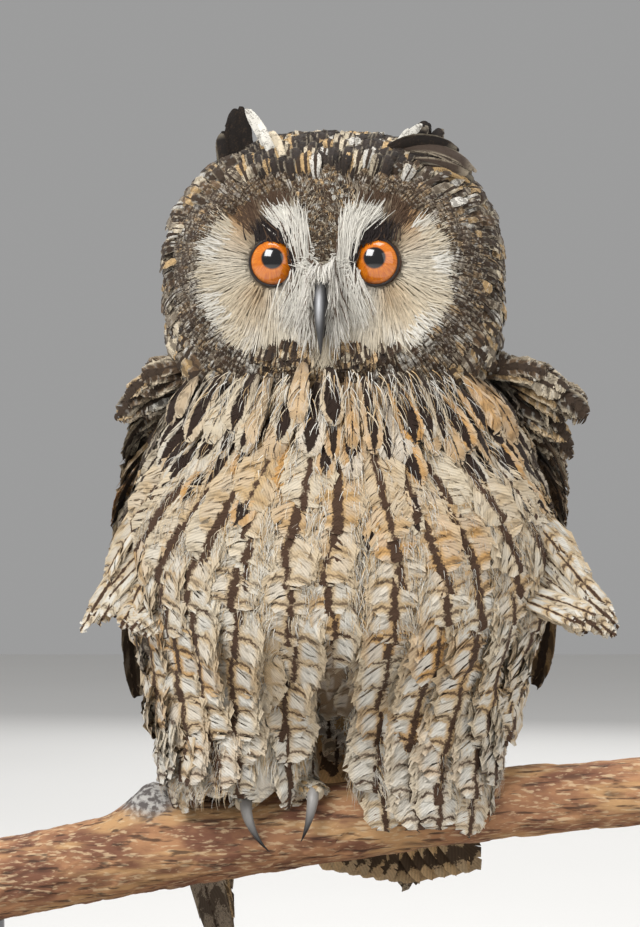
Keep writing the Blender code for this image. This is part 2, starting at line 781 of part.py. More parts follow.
def make_tail(torso):
    """The tail behind the branch: six pairs of feathers, the middle pair on top, and coverts."""

    def section(t):
        depth = -(TAIL_PAIRS - 1) / 2 * TAIL_STEP
        middle, outward = tail_place(t * TAIL_CORE_LENGTH, 0, depth)
        across = Vector((TAIL_ROOT_HALF_WIDTH, 0, 0))
        return middle, across, outward * TAIL_CORE_HALF_THICKNESS * (1 - 0.3 * t), Vector()

    tail = bent_form("tail", section, 12, 8, DARK_PLUMAGE)
    vanes = []
    for pair in range(TAIL_PAIRS):
        for side in SIDES.values():
            rank = pair + (1 if pair or side > 0 else 0)
            over = side * (pair + 0.5) / (TAIL_PAIRS - 0.5)
            end = 1.0 - 0.012 * pair
            vanes.append(
                tail_vane((0.2, over * 0.6), (end, over), -rank * TAIL_STEP, TAIL_HALF_WIDTH)
            )
    for number in range(TAIL_COVERTS):
        over = 1.6 * number / (TAIL_COVERTS - 1) - 0.8
        for level in (TAIL_STEP * 1.2, -TAIL_STEP * (TAIL_PAIRS + 1.2)):
            end = TAIL_COVERT_LENGTH - 0.08 * abs(over)
            level += over * MM
            vanes.append(tail_vane((0.06, over * 0.7), (end, over), level, TAIL_HALF_WIDTH))
    combine(tail, vanes, "UNION", "MANIFOLD")
    combine(tail, [grown(torso)], "DIFFERENCE", "MANIFOLD")


def dress_torso(torso):
    """Tiers of hanging feathers on breast, belly and flanks."""
    vanes = []
    for height, count, widest in BREAST_TIERS:
        for number in range(count):
            share = 2 * number / (count - 1) - 1
            angle = math.radians(share * widest)
            step = (number % 2) * 2 * VANE_THICKNESS

            def line(t, angle=angle, height=height, step=step):
                drop = height * MM - BREAST_LENGTH * t
                swell = -BREAST_ROOT_SINK + (BREAST_ROOT_SINK + BREAST_LIFT) * t**0.6 + step
                point = trunk_point(angle * (1 + 0.08 * t), max(drop, WIDEST_HEIGHT), swell)
                return Vector((point.x, point.y, drop))

            def outward(t, angle=angle):
                return Vector((math.sin(angle), -math.cos(angle), 0))

            vanes.append(vane(line, outward, BREAST_HALF_WIDTH))
    for side_name, side in SIDES.items():
        for (height, angle), (x, z), y in zip(FLANK_ROOTS, FLANK_TIPS[side_name], FLANK_DEPTHS):
            angle = math.radians(angle) * side
            root = trunk_point(angle, height * MM, -BREAST_ROOT_SINK)
            tip = Vector((x, y, z)) * MM
            bow = Vector((math.sin(angle), -math.cos(angle), 0)) * FLANK_BOW
            line = vane_line(root, (root + tip) / 2 + bow, tip)
            outward = Vector((0.35 * side, -1, 0.2)).normalized()
            vanes.append(vane(line, lambda t: outward, FLANK_HALF_WIDTH))
    combine(torso, vanes, "UNION", "MANIFOLD")


def make_leg(side_name, torso):
    """One feathered thigh and shank, ending flat on the foot's top, and its hanging feathers."""
    top_x, foot_x = LEG_TOP_X[side_name], FOOT_X[side_name]
    ankle = perch_at(foot_x)[0].z + perch_at(foot_x)[1] + ANKLE_HEIGHT
    start = Vector((top_x, 1 * MM, LEG_TOP))
    middle = Vector((top_x, -4 * MM, (LEG_TOP + ankle) / 2))
    end = Vector(((top_x + foot_x) / 2, -4 * MM, ankle - 12 * MM))

    def section(t):
        half_width, half_depth = (size * MM for size in smoothed(LEG_SIZES, t))
        across, thick = Vector((half_width, 0, 0)), Vector((0, half_depth, 0))
        return bezier((start, middle, end), t), across, thick, Vector()

    leg = bent_form(f"leg_{side_name}", section, 16, 10, PLUMAGE)
    trim_flat(leg, ankle + GAP / 2, keep_above=True)
    vanes = []
    for height, rise in LEG_TIERS:
        for number in range(LEG_VANES):
            angle = LEG_WIDEST * (2 * number / (LEG_VANES - 1) - 1)
            hem = LEG_HEM[side_name] + rise * MM + LEG_HEM_CURVE * (1 - math.cos(angle))
            facing = Vector((math.sin(angle), -math.cos(angle), 0))
            root = middle + facing * (LEG_SIZES[1][2] * MM - LEG_VANE_SINK)
            root.z = height * MM
            step = (number % 2) * 2 * VANE_THICKNESS
            tip = root + facing * (LEG_VANE_SINK + LEG_VANE_LIFT + step)
            tip.z = hem
            bow = root + facing * (LEG_VANE_SINK + 2 * LEG_VANE_LIFT + step)
            bow.z = (height * MM + hem) / 2
            line = vane_line(root, bow, tip)
            vanes.append(vane(line, lambda t, facing=facing: facing, LEG_VANE_HALF_WIDTH))
    combine(leg, vanes, "UNION")
    combine(leg, [grown(torso)], "DIFFERENCE")


def toe_line(foot_x, spread, sweep):
    """A toe's middle line: over the branch from its top, by an angle, and out along X."""
    points = []
    steps = 4
    for step in range(steps + 1):
        t = step / steps
        centre, radius = perch_at(foot_x + spread * t)
        angle = sweep * t
        away = radius + TOE_RADIUS + 2 * GAP
        points.append(centre + Vector((0, -math.sin(angle), math.cos(angle))) * away)
    return points


def make_foot(side_name):
    """Ankle and toes, two to the front and two to the back, and their talons."""
    foot_x = FOOT_X[side_name]
    perch_centre, perch_radius = perch_at(foot_x)
    ground = perch_centre.z + perch_radius
    hub = Vector((foot_x, 0, ground + TOE_RADIUS))
    size = Vector((11, 9, 6.5)) * MM
    foot = shaped_sphere(
        f"foot_{side_name}",
        lambda unit: hub + Vector((unit.x * size.x, unit.y * size.y, unit.z * size.z)),
        14,
        8,
        PLUMAGE,
    )
    ankle = ground + ANKLE_HEIGHT - GAP / 2
    shank = tube("shank", [hub, Vector((foot_x, 0, ankle))], [SHANK_RADIUS] * 2, 12, PLUMAGE)
    toes = []
    talons = []
    for toe_name, spread, sweep, length in TOES:
        line = toe_line(foot_x, spread * MM, math.radians(sweep))
        radii = [TOE_RADIUS * (1.0 - 0.25 * step / (len(line) - 1)) for step in range(len(line))]
        toes.append(tube("toe", line, radii, 8, PLUMAGE))
        ahead = (line[-1] - line[-3]).normalized()
        talons.append((f"talon_{side_name}_{toe_name}", line[-1], ahead, spread, length * MM))
    combine(foot, [shank, *toes], "UNION")
    combine(foot, [grown(bpy.data.objects["perch"])], "DIFFERENCE")
    for name, root, ahead, spread, length in talons:
        make_talon(name, root, ahead, spread, length, foot)


def make_talon(name, root, ahead, spread, length, foot):
    """One curved claw that leaves a toe's end and hooks down beside the branch."""
    outward = math.copysign(1, ahead.y)
    inward = -math.copysign(1, spread)
    line = (
        root - ahead * 2 * MM,
        root + Vector((0, outward, 0.1)) * length * 0.42,
        root + Vector((inward * 0.2, outward * 0.42, -0.6)) * length,
        root + Vector((inward * 0.42, outward * 0.2, -1.0)) * length,
    )

    def section(t):
        along = bezier(line, min(t + 0.02, 1)) - bezier(line, max(t - 0.02, 0))
        radius = TALON_RADIUS * (1 - 0.9 * t)
        across = along.cross(Vector((0, outward, 0.3))).normalized()
        thick = across.cross(along).normalized()
        return bezier(line, t), across * radius, thick * radius * 1.25, Vector()

    talon = bent_form(name, section, 6, 7, HORN)
    combine(talon, [grown(foot)], "DIFFERENCE")


def main():
    make_perch()
    make_stand()
    torso, neck = make_torso()
    skull = make_head()
    make_bill(skull)
    make_tufts(skull)
    bpy.data.objects.remove(skull)
    make_wings(torso, neck)
    make_tail(torso)
    for side_name in SIDES:
        make_leg(side_name, torso)
        make_foot(side_name)
    dress_torso(torso)


for leftover in list(bpy.data.objects):
    bpy.data.objects.remove(leftover)
PARTS = bpy.data.collections.new("long_eared_owl")
bpy.context.scene.collection.children.link(PARTS)
PLUMAGE = tint("plumage", (0.62, 0.5, 0.36), 0.9)
DARK_PLUMAGE = tint("dark_plumage", (0.12, 0.08, 0.06), 0.85)
EYE = tint("eye", (0.95, 0.3, 0.03), 0.08)
HORN = tint("horn", (0.05, 0.05, 0.06), 0.3)
BARK = tint("bark", (0.45, 0.22, 0.12), 0.9)
WOOD = tint("wood", (0.16, 0.09, 0.05), 0.4)
STEEL = tint("steel", (0.35, 0.35, 0.36), 0.35, metallic=1.0)
main()
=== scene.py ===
"""Looks of a life-size long-eared owl on a cut branch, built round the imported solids.

Metres, +Z up, the owl faces -Y. Plumage is solid mesh, feather by feather: each feather is cut
once as a template and laid along its own curved line on the body.
"""

from __future__ import annotations

import logging
import math
from dataclasses import dataclass, field
from enum import Enum
from typing import Callable, Sequence

import bmesh
import bpy
import numpy as np
from bpy.types import Material, Mesh, Node, NodeSocket, NodeTree, Object
from mathutils import Matrix, Vector, noise

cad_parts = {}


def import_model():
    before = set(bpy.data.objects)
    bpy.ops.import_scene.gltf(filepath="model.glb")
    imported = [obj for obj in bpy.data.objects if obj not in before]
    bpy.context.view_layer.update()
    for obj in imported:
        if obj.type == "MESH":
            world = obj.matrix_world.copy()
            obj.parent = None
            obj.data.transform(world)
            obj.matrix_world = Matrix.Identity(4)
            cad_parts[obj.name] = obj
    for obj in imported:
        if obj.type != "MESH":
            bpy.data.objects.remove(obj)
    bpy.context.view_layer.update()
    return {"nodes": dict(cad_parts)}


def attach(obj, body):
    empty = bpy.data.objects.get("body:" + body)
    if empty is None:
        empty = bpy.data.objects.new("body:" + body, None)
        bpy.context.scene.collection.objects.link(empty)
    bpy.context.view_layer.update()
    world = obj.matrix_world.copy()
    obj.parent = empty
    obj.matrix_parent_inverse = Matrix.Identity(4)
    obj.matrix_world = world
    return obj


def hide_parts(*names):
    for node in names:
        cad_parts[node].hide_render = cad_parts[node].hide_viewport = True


log = logging.getLogger("owl")

MM = 0.001
TAU = math.tau
Array = np.ndarray
Colour = tuple[float, float, float]
SIDES = {"left": -1.0, "right": 1.0}
BODY = "root"

CREAM: Colour = (0.64, 0.545, 0.40)
BUFF: Colour = (0.55, 0.37, 0.18)
ORANGE_BUFF: Colour = (0.60, 0.33, 0.11)
WHITE: Colour = (0.70, 0.67, 0.60)
GREY_WHITE: Colour = (0.62, 0.59, 0.53)
GREY_BROWN: Colour = (0.28, 0.23, 0.17)
DARK_BROWN: Colour = (0.050, 0.033, 0.022)
MID_BROWN: Colour = (0.16, 0.10, 0.055)
BLACK_BROWN: Colour = (0.018, 0.014, 0.012)


class Cut(Enum):
    """How a feather's outline is cut."""

    LOOSE = "loose"
    SMALL = "small"
    STIFF = "stiff"
    FILAMENT = "filament"


def seeded(seed: int) -> np.random.Generator:
    """Gives a class its own source of chance."""
    return field(default_factory=lambda: np.random.default_rng(seed))


def both(left: object, right: object) -> dict:
    """Gives a class one value for each side."""
    return field(default_factory=lambda: {"left": left, "right": right})


def rows_of(*parts: Array | float) -> Array:
    """Returns rows whose columns are the given arrays or numbers."""
    return np.stack(np.broadcast_arrays(*parts), -1)


def drawn(rng: np.random.Generator, count: int, *limits: tuple[float, float]) -> Array:
    """Returns rows of random numbers, one column for each pair of limits."""
    return rows_of(*(rng.uniform(*pair, count) for pair in limits))


def unit(vectors: Array) -> Array:
    """Returns vectors at length one."""
    return vectors / np.maximum(np.linalg.norm(vectors, axis=-1, keepdims=True), 1e-12)


def mixed(a: Array | Colour, b: Array | Colour, share: Array) -> Array:
    """Blends two colours or two sets of them.

    Args:
        a: Colour or rows of colours at share 0.
        b: Colour or rows of colours at share 1.
        share: One number for each row.

    Returns:
        One row for each number.
    """
    share = np.clip(np.asarray(share, float), 0, 1)[:, None]
    return np.asarray(a, float) * (1 - share) + np.asarray(b, float) * share


def ramp(values: Array, low: float, high: float) -> Array:
    """Returns 0 at low and 1 at high, smooth in between."""
    t = np.clip((np.asarray(values, float) - low) / (high - low), 0, 1)
    return t * t * (3 - 2 * t)


def smoothed(stations: Sequence[Sequence[float]], at: Array) -> Array:
    """Reads rows of sizes at many keys, on a smooth curve.

    Args:
        stations: Rows whose first column is the key, in rising order.
        at: The keys that are wanted.

    Returns:
        One row of sizes for each key.
    """
    table = np.array(stations, float)
    keys, values = table[:, 0], table[:, 1:]
    at = np.clip(np.asarray(at, float), keys[0], keys[-1])
    low = np.clip(np.searchsorted(keys, at) - 1, 0, len(keys) - 2)
    before, after = np.maximum(low - 1, 0), np.minimum(low + 2, len(keys) - 1)
    span = keys[low + 1] - keys[low]
    t = ((at - keys[low]) / span)[:, None]
    rise = (span / (keys[low + 1] - keys[before]))[:, None] * (values[low + 1] - values[before])
    fall = (span / (keys[after] - keys[low]))[:, None] * (values[after] - values[low])
    return (
        values[low] * (2 * t**3 - 3 * t**2 + 1) + rise * (t**3 - 2 * t**2 + t)
        + values[low + 1] * (3 * t**2 - 2 * t**3) + fall * (t**3 - t**2)
    )


def bezier(points: Sequence[Array], t: Array) -> Array:
    """Returns points on the smooth curve that a few control points give, at shares t."""
    t = np.asarray(t, float)[..., None]
    rows = [np.asarray(p, float) for p in points]
    while len(rows) > 1:
        rows = [a * (1 - t) + b * t for a, b in zip(rows, rows[1:])]
    return rows[0]


def through(root: Array, middle: Array, tip: Array) -> Array:
    """Returns the control point of a curve that runs through a middle point."""
    return 2 * middle - 0.5 * (root + tip)


def course(line: Array, along: Array, step: float = 0.02) -> Array:
    """Returns the way a curve runs at shares of its length."""
    return bezier(line, np.minimum(along + step, 1)) - bezier(line, np.maximum(along - step, 0))


def add_object(name: str, mesh: Mesh) -> Object:
    """Makes an object at the origin that shows a mesh."""
    made = bpy.data.objects.new(name, mesh)
    bpy.context.scene.collection.objects.link(made)
    return made


def from_bmesh(name: str, bm: bmesh.types.BMesh, smooth: bool = True) -> Object:
    """Turns a bmesh into an object and frees it.

    Args:
        name: The piece's name.
        bm: The mesh under edit.
        smooth: Whether its faces are shaded smooth.

    Returns:
        The new object.
    """
    mesh = bpy.data.meshes.new(name)
    bm.to_mesh(mesh)
    bm.free()
    mesh.polygons.foreach_set("use_smooth", np.full(len(mesh.polygons), smooth))
    return add_object(name, mesh)


def from_mm(name: str, bm: bmesh.types.BMesh) -> Object:
    """Turns a bmesh in mm into an object in metres."""
    bmesh.ops.scale(bm, vec=(MM, MM, MM), verts=bm.verts)
    return from_bmesh(name, bm)


def place_piece(piece: Object, material: Material, nodes: Sequence[str] = ()) -> Object:
    """Finishes a piece and puts it on the model's body.

    Args:
        piece: The new piece.
        material: Its finish.
        nodes: Solids that the piece stands for.

    Returns:
        The piece.
    """
    piece.data.materials.clear()
    piece.data.materials.append(material)
    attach(piece, BODY)
    if nodes:
        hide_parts(*nodes)
    log.info("%s: %d triangles", piece.name, sum(len(p.vertices) - 2 for p in piece.data.polygons))
    return piece


class Wiring:
    """Adds nodes to a shader tree and joins them up."""

    def __init__(self, tree: NodeTree) -> None:
        """Starts on a tree."""
        self.tree = tree

    def put(self, kind: str, inputs: dict | None = None, **settings: object) -> Node:
        """Adds one node.

        Args:
            kind: Blender's name for the node type.
            inputs: Values or sockets for its inputs, by name or number.
            settings: Its properties.

        Returns:
            The node.
        """
        node = self.tree.nodes.new(kind)
        for key, value in settings.items():
            setattr(node, key, value)
        for key, value in (inputs or {}).items():
            if isinstance(value, NodeSocket):
                self.tree.links.new(value, node.inputs[key])
            else:
                node.inputs[key].default_value = value
        return node

    def math(self, operation: str, a: object, b: object = 0.0, clamp: bool = False) -> object:
        """Returns the socket of a sum on two numbers or sockets."""
        node = self.put("ShaderNodeMath", {0: a, 1: b}, operation=operation, use_clamp=clamp)
        return node.outputs[0]

    def times(self, a: object, b: object, clamp: bool = False) -> object:
        """Returns the socket of a product."""
        return self.math("MULTIPLY", a, b, clamp)

    def plus(self, a: object, b: object) -> object:
        """Returns the socket of a sum."""
        return self.math("ADD", a, b)

    def minus(self, a: object, b: object) -> object:
        """Returns the socket of a difference."""
        return self.math("SUBTRACT", a, b)

    def inverse(self, a: object) -> object:
        """Returns the socket of one less a value."""
        return self.math("SUBTRACT", 1.0, a)

    def bump(self, height: object, strength: float, distance: float, **more: object) -> object:
        """Returns the normal socket of a bump whose distance is in mm."""
        inputs = {"Height": height, "Strength": strength, "Distance": distance * MM, **more}
        return self.put("ShaderNodeBump", inputs).outputs[0]

    def give(self, shader: Node, values: dict) -> None:
        """Joins sockets to a shader's inputs, or sets their values, by name."""
        for label, value in values.items():
            if isinstance(value, NodeSocket):
                self.tree.links.new(value, shader.inputs[label])
            else:
                shader.inputs[label].default_value = value

    def ramp(self, value: object, low: float, high: float) -> object:
        """Returns a socket that is 0 at low and 1 at high, smooth in between."""
        node = self.put(
            "ShaderNodeMapRange", {"Value": value, "From Min": low, "From Max": high},
            interpolation_type="SMOOTHSTEP",
        )
        return node.outputs["Result"]

    def mix(self, share: object, a: object, b: object, blend: str = "MIX") -> object:
        """Returns the colour socket of a mix of two colours."""
        node = self.put("ShaderNodeMix", {"Factor": share}, data_type="RGBA", blend_type=blend)
        for socket, value in zip((node.inputs[6], node.inputs[7]), (a, b)):
            if isinstance(value, NodeSocket):
                self.tree.links.new(value, socket)
            else:
                socket.default_value = (*value, 1.0)[:4]
        return node.outputs[2]

    def dimmed(self, colour: object, level: object, share: float = 1.0) -> object:
        """Returns a colour multiplied by a grey level."""
        grey = self.put("ShaderNodeCombineColor", {0: level, 1: level, 2: level})
        return self.mix(share, colour, grey.outputs[0], "MULTIPLY")

    def noise(self, vector: object, scale: float, detail: float = 2.0) -> object:
        """Returns the grey output of a noise texture."""
        node = self.put("ShaderNodeTexNoise", {"Vector": vector, "Scale": scale, "Detail": detail})
        return node.outputs["Fac"]

    def stretched(self, vector: object, scale: Sequence[float]) -> object:
        """Returns a vector scaled along its own axes."""
        return self.put("ShaderNodeMapping", {"Vector": vector, "Scale": scale}).outputs[0]

    def object_place(self) -> object:
        """Returns the Object coordinates."""
        return self.put("ShaderNodeTexCoord").outputs["Object"]

    def attribute(self, name: str) -> Node:
        """Returns a node that reads a named attribute."""
        return self.put("ShaderNodeAttribute", attribute_name=name)


def new_material(name: str) -> tuple[Material, Wiring, Node]:
    """Starts a finish.

    Args:
        name: The finish's name.

    Returns:
        The material, its wiring and its main shader.
    """
    made = bpy.data.materials.new(name)
    made.use_nodes = True
    return made, Wiring(made.node_tree), made.node_tree.nodes["Principled BSDF"]


def new_group(name: str, inputs: Sequence[str], outputs: Sequence[str]) -> tuple:
    """Starts a shader node group of numbers.

    Args:
        name: The group's name.
        inputs: Names of its number inputs.
        outputs: Names of its number outputs.

    Returns:
        The tree, its wiring, its input node and its output node.
    """
    tree = bpy.data.node_groups.new(name, "ShaderNodeTree")
    for label in inputs:
        tree.interface.new_socket(label, in_out="INPUT", socket_type="NodeSocketFloat")
    for label in outputs:
        tree.interface.new_socket(label, in_out="OUTPUT", socket_type="NodeSocketFloat")
    wires = Wiring(tree)
    return tree, wires, wires.put("NodeGroupInput"), wires.put("NodeGroupOutput")


def feather_marks_group() -> NodeTree:
    """Makes the group that draws a feather's markings on its own map.

    Returns:
        A group whose outputs are masks: dark streak and bars, pale spots, pale edge, the fine
        lines of the barbs and the feather's root, darkened by grey down and by painted shade.
    """
    tree, wires, given, found = new_group(
        "feather_marks",
        ("Streak", "Bars", "Edge", "Spots", "Bar Count", "Bar Width", "Speckle", "Point"),
        ("Dark", "Spot", "Rim", "Barbs", "Root", "Puff"),
    )
    uv = wires.put("ShaderNodeUVMap", uv_map="feather").outputs[0]
    split = wires.put("ShaderNodeSeparateXYZ", {0: uv})
    place = wires.object_place()
    wobble = wires.minus(wires.noise(place, 420.0, 3.0), 0.5)
    fine = wires.minus(wires.noise(place, 1500.0, 2.0), 0.5)
    doubled = wires.minus(wires.times(split.outputs["X"], 2.0), 1.0)
    across = wires.math("ABSOLUTE", doubled)
    along = split.outputs["Y"]
    rough_across = wires.plus(across, wires.times(wobble, 0.45))
    rough_across = wires.plus(rough_across, wires.times(fine, 0.25))
    widening = wires.plus(0.45, wires.times(along, 0.75))
    narrowing = wires.times(wires.ramp(along, 0.66, 1.04), given.outputs["Point"])
    shape = wires.times(widening, wires.inverse(narrowing))
    reach = wires.times(given.outputs["Streak"], shape)
    over = wires.minus(rough_across, reach)
    streak = wires.inverse(wires.ramp(over, -0.05, 0.07))
    has_streak = wires.ramp(given.outputs["Streak"], 0.0, 0.04)
    streak = wires.times(streak, has_streak)
    from_crest = wires.minus(across, 0.42)
    droop = wires.times(wires.times(from_crest, from_crest), 0.24)
    slanted = wires.minus(along, droop)
    waved = wires.plus(slanted, wires.times(wobble, 0.07))
    waved = wires.plus(waved, wires.times(fine, 0.04))
    phase = wires.math("FRACT", wires.times(waved, given.outputs["Bar Count"]))
    from_bar = wires.times(wires.math("ABSOLUTE", wires.minus(phase, 0.5)), 2)
    past_bar = wires.minus(from_bar, given.outputs["Bar Width"])
    bar = wires.inverse(wires.ramp(past_bar, -0.07, 0.10))
    open_edge = wires.inverse(wires.ramp(across, 0.78, 1.0))
    bar = wires.times(wires.times(bar, given.outputs["Bars"]), open_edge)
    speck = wires.ramp(wires.plus(wires.noise(place, 2100.0, 1.0), wobble), 0.55, 0.68)
    speck = wires.times(speck, given.outputs["Speckle"])
    dark = wires.math("MAXIMUM", wires.math("MAXIMUM", streak, bar), speck, clamp=True)
    spot = wires.times(wires.ramp(past_bar, 0.12, 0.45), wires.ramp(across, 0.15, 0.35))
    spot = wires.times(spot, wires.inverse(wires.ramp(across, 0.7, 0.95)))
    spot = wires.times(spot, given.outputs["Spots"], clamp=True)
    rim = wires.math("MAXIMUM", wires.ramp(across, 0.62, 0.95), wires.ramp(along, 0.86, 1.0))
    rim = wires.times(rim, given.outputs["Edge"], clamp=True)
    lines = wires.plus(wires.times(along, 190.0), wires.times(across, -42))
    barbs = wires.plus(wires.times(wires.math("SINE", lines), 0.5), 0.5)
    # Mask of the feather's root, for its grey down and its painted shade.
    root = wires.inverse(wires.ramp(along, 0.05, 0.55))
    puff = wires.times(wires.ramp(past_bar, 0.0, 0.7), given.outputs["Bars"])
    made = (dark, spot, rim, barbs, root, puff)
    for label, socket in zip(("Dark", "Spot", "Rim", "Barbs", "Root", "Puff"), made):
        tree.links.new(socket, found.inputs[label])
    return tree


@dataclass(frozen=True)
class Plumage:
    """A finish for feathers that carry their ground colour and markings with them."""

    name: str
    dark: Colour = DARK_BROWN
    light: Colour = WHITE
    edge: Colour = CREAM
    bar_count: float = 6.0
    bar_width: float = 0.28
    speckle: float = 0.0
    point: float = 0.0
    root_down_and_painted_shade: float = 0.45
    roughness: float = 0.82
    sheen: float = 0.06

    def build(self, marks_group: NodeTree) -> Material:
        """Makes the material.

        Args:
            marks_group: The group that draws a feather's markings.

        Returns:
            The material.
        """
        made, wires, shader = new_material(self.name)
        tint = wires.attribute("tint")
        marks = wires.attribute("marks")
        split = wires.put("ShaderNodeSeparateColor", {0: marks.outputs["Color"]})
        group = wires.put("ShaderNodeGroup", node_tree=marks_group)
        for label, value in (
            ("Streak", split.outputs[0]), ("Bars", split.outputs[1]), ("Edge", split.outputs[2]),
            ("Spots", marks.outputs["Alpha"]),
        ):
            made.node_tree.links.new(value, group.inputs[label])
        group.inputs["Bar Count"].default_value = self.bar_count
        group.inputs["Bar Width"].default_value = self.bar_width
        group.inputs["Speckle"].default_value = self.speckle
        group.inputs["Point"].default_value = self.point
        ground = wires.mix(group.outputs["Rim"], tint.outputs["Color"], self.edge)
        ground = wires.mix(group.outputs["Spot"], ground, self.light)
        ground = wires.mix(group.outputs["Dark"], ground, self.dark)
        # Darker towards each feather's root: partly its grey down, partly painted shade from the
        # feathers that overlap it.
        shade = wires.times(group.outputs["Root"], self.root_down_and_painted_shade)
        ground = wires.mix(shade, ground, DARK_BROWN)
        uneven = wires.plus(0.82, wires.times(group.outputs["Barbs"], 0.3))
        colour = wires.dimmed(ground, uneven, 0.6)
        puff = wires.bump(group.outputs["Puff"], 0.6, 1.0)
        wires.give(
            shader,
            {
                "Base Color": colour,
                "Normal": wires.bump(group.outputs["Barbs"], 0.35, 0.15, Normal=puff),
                "Roughness": self.roughness, "Sheen Weight": self.sheen,
                "Specular IOR Level": 0.15,
            },
        )
        return made


@dataclass(frozen=True)
class Down:
    """A finish for fine filaments and for the skin, coloured by what they carry."""

    name: str
    roughness: float = 0.85
    uneven: float = 0.25

    def build(self) -> Material:
        """Makes the material."""
        made, wires, shader = new_material(self.name)
        tint = wires.attribute("tint")
        grain = wires.noise(wires.object_place(), 900.0, 3.0)
        level = wires.plus(1.0 - self.uneven, wires.times(grain, 2 * self.uneven))
        colour = wires.dimmed(tint.outputs["Color"], level)
        wires.give(
            shader,
            {
                "Base Color": colour, "Normal": wires.bump(grain, 0.3, 0.3),
                "Roughness": self.roughness, "Sheen Weight": 0.2, "Specular IOR Level": 0.2,
            },
        )
        return made


@dataclass(frozen=True)
class Template:
    """One feather in its own measure: u across from -1 to 1, v along from 0 to 1, w outwards."""

    points: Array
    quads: Array

    @staticmethod
    def cut(kind: Cut, seed: int) -> "Template":
        """Cuts a feather's shape.

        Args:
            kind: How its outline is cut.
            seed: Varies its barbs.

        Returns:
            The template.
        """
        columns, rows, fray, taper, sweep, ragged = {
            Cut.LOOSE: (4, 22, 0.0, 0.22, 0.26, 0.9), Cut.SMALL: (4, 9, 0.0, 0.30, 0.24, 0.8),
            Cut.STIFF: (6, 20, 0.50, 0.50, 0.12, 0.35), Cut.FILAMENT: (1, 4, 2.0, 1.0, 0.0, 0.0),
        }[kind]
        rng = np.random.default_rng(seed)
        bm = bmesh.new()
        bmesh.ops.create_grid(bm, x_segments=columns, y_segments=rows, size=1.0)
        loose = [
            e
            for e in bm.edges
            if abs(e.verts[0].co.y - e.verts[1].co.y) < 1e-4
            and min(abs(e.verts[0].co.x), abs(e.verts[1].co.x)) > fray - 0.02
            and abs(e.verts[0].co.y) < 0.99
        ]
        if loose:
            bmesh.ops.split_edges(bm, edges=loose)
        ends: dict[tuple[int, int], Array] = {}
        for vert in bm.verts:
            x, v = vert.co.x, (vert.co.y + 1) / 2
            out = max(abs(x) - fray, 0) / max(1 - fray, 1e-3)
            if out > 0.01 and vert.link_faces:
                around = vert.link_faces
                middle = sum(f.calc_center_median().y for f in around) / len(around)
                row = (middle + 1) / 2
                key = (round(row * rows * 2), 1 if x > 0 else -1)
                if key not in ends:
                    ends[key] = rng.normal(0, 1, 3)
                wild = ends[key] * ragged
                v = row + (v - row) * (1.25 - (1.25 - taper) * out)
                v += wild[0] * 0.022 * out
                x *= 1 + wild[1] * 0.10 * out
                lift = wild[2] * 0.10 * out
            else:
                lift = 0.0
            vert.co = (x, v, lift)
        for vert in bm.verts:
            x, v, lift = vert.co
            spread = min(0.35 + 1.9 * v, 1.0)
            if kind is Cut.FILAMENT:
                spread = 1.0 - 0.8 * v
            elif v > 0.62:
                spread *= math.sqrt(max(1 - ((v - 0.62) / 0.40) ** 2, 0.02))
            ahead = v + sweep * abs(x) * (1 - v) * min(3 * v, 1)
            camber = (1 - x * x) * 0.16 if kind is not Cut.FILAMENT else 0.0
            vert.co = (x * spread, ahead, lift + camber)
        bm.verts.index_update()
        points = np.array([v.co for v in bm.verts], float)
        quads = np.array([[v.index for v in f.verts] for f in bm.faces], int)
        bm.free()
        return Template(points, quads)


@dataclass
class Flock:
    """Many feathers: where each grows, how it lies and what it carries, one row for each."""

    root: Array
    bow: Array
    tip: Array
    outward: Array
    half_width: Array
    ground: Array
    marks: Array
    patch: Array
    ground_tip: Array | None = None
    roll: Array | None = None

    def kept(self, mask: Array) -> "Flock":
        """Returns the feathers that a mask picks."""
        picked = {}
        for key, value in self.__dict__.items():
            picked[key] = None if value is None else value[mask]
        return Flock(**picked)

    def laid(self, template: Template) -> Array:
        """Lays a template along each feather's line.

        Args:
            template: The feather's shape.

        Returns:
            Points for each feather and each of the template's points.
        """
        u, v, w = template.points.T
        t = np.clip(v, 0, 1.1)[None, :]
        root, bow, tip = (a[:, None, :] for a in (self.root, self.bow, self.tip))
        s = t[..., None]
        spine = root * (1 - s) ** 2 + bow * 2 * s * (1 - s) + tip * s**2
        ahead = unit((bow - root) * 2 * (1 - s) + (tip - bow) * 2 * s + 1e-9)
        across = unit(np.cross(ahead, np.broadcast_to(self.outward[:, None, :], ahead.shape)))
        up = np.cross(across, ahead)
        if self.roll is not None:
            cosine, sine = np.cos(self.roll)[:, None, None], np.sin(self.roll)[:, None, None]
            across, up = across * cosine + up * sine, up * cosine - across * sine
        wide = self.half_width[:, None, None]
        return spine + across * u[None, :, None] * wide + up * w[None, :, None] * wide


# Half the width of one feather's place on the OFBake map.
PATCH = 0.0014


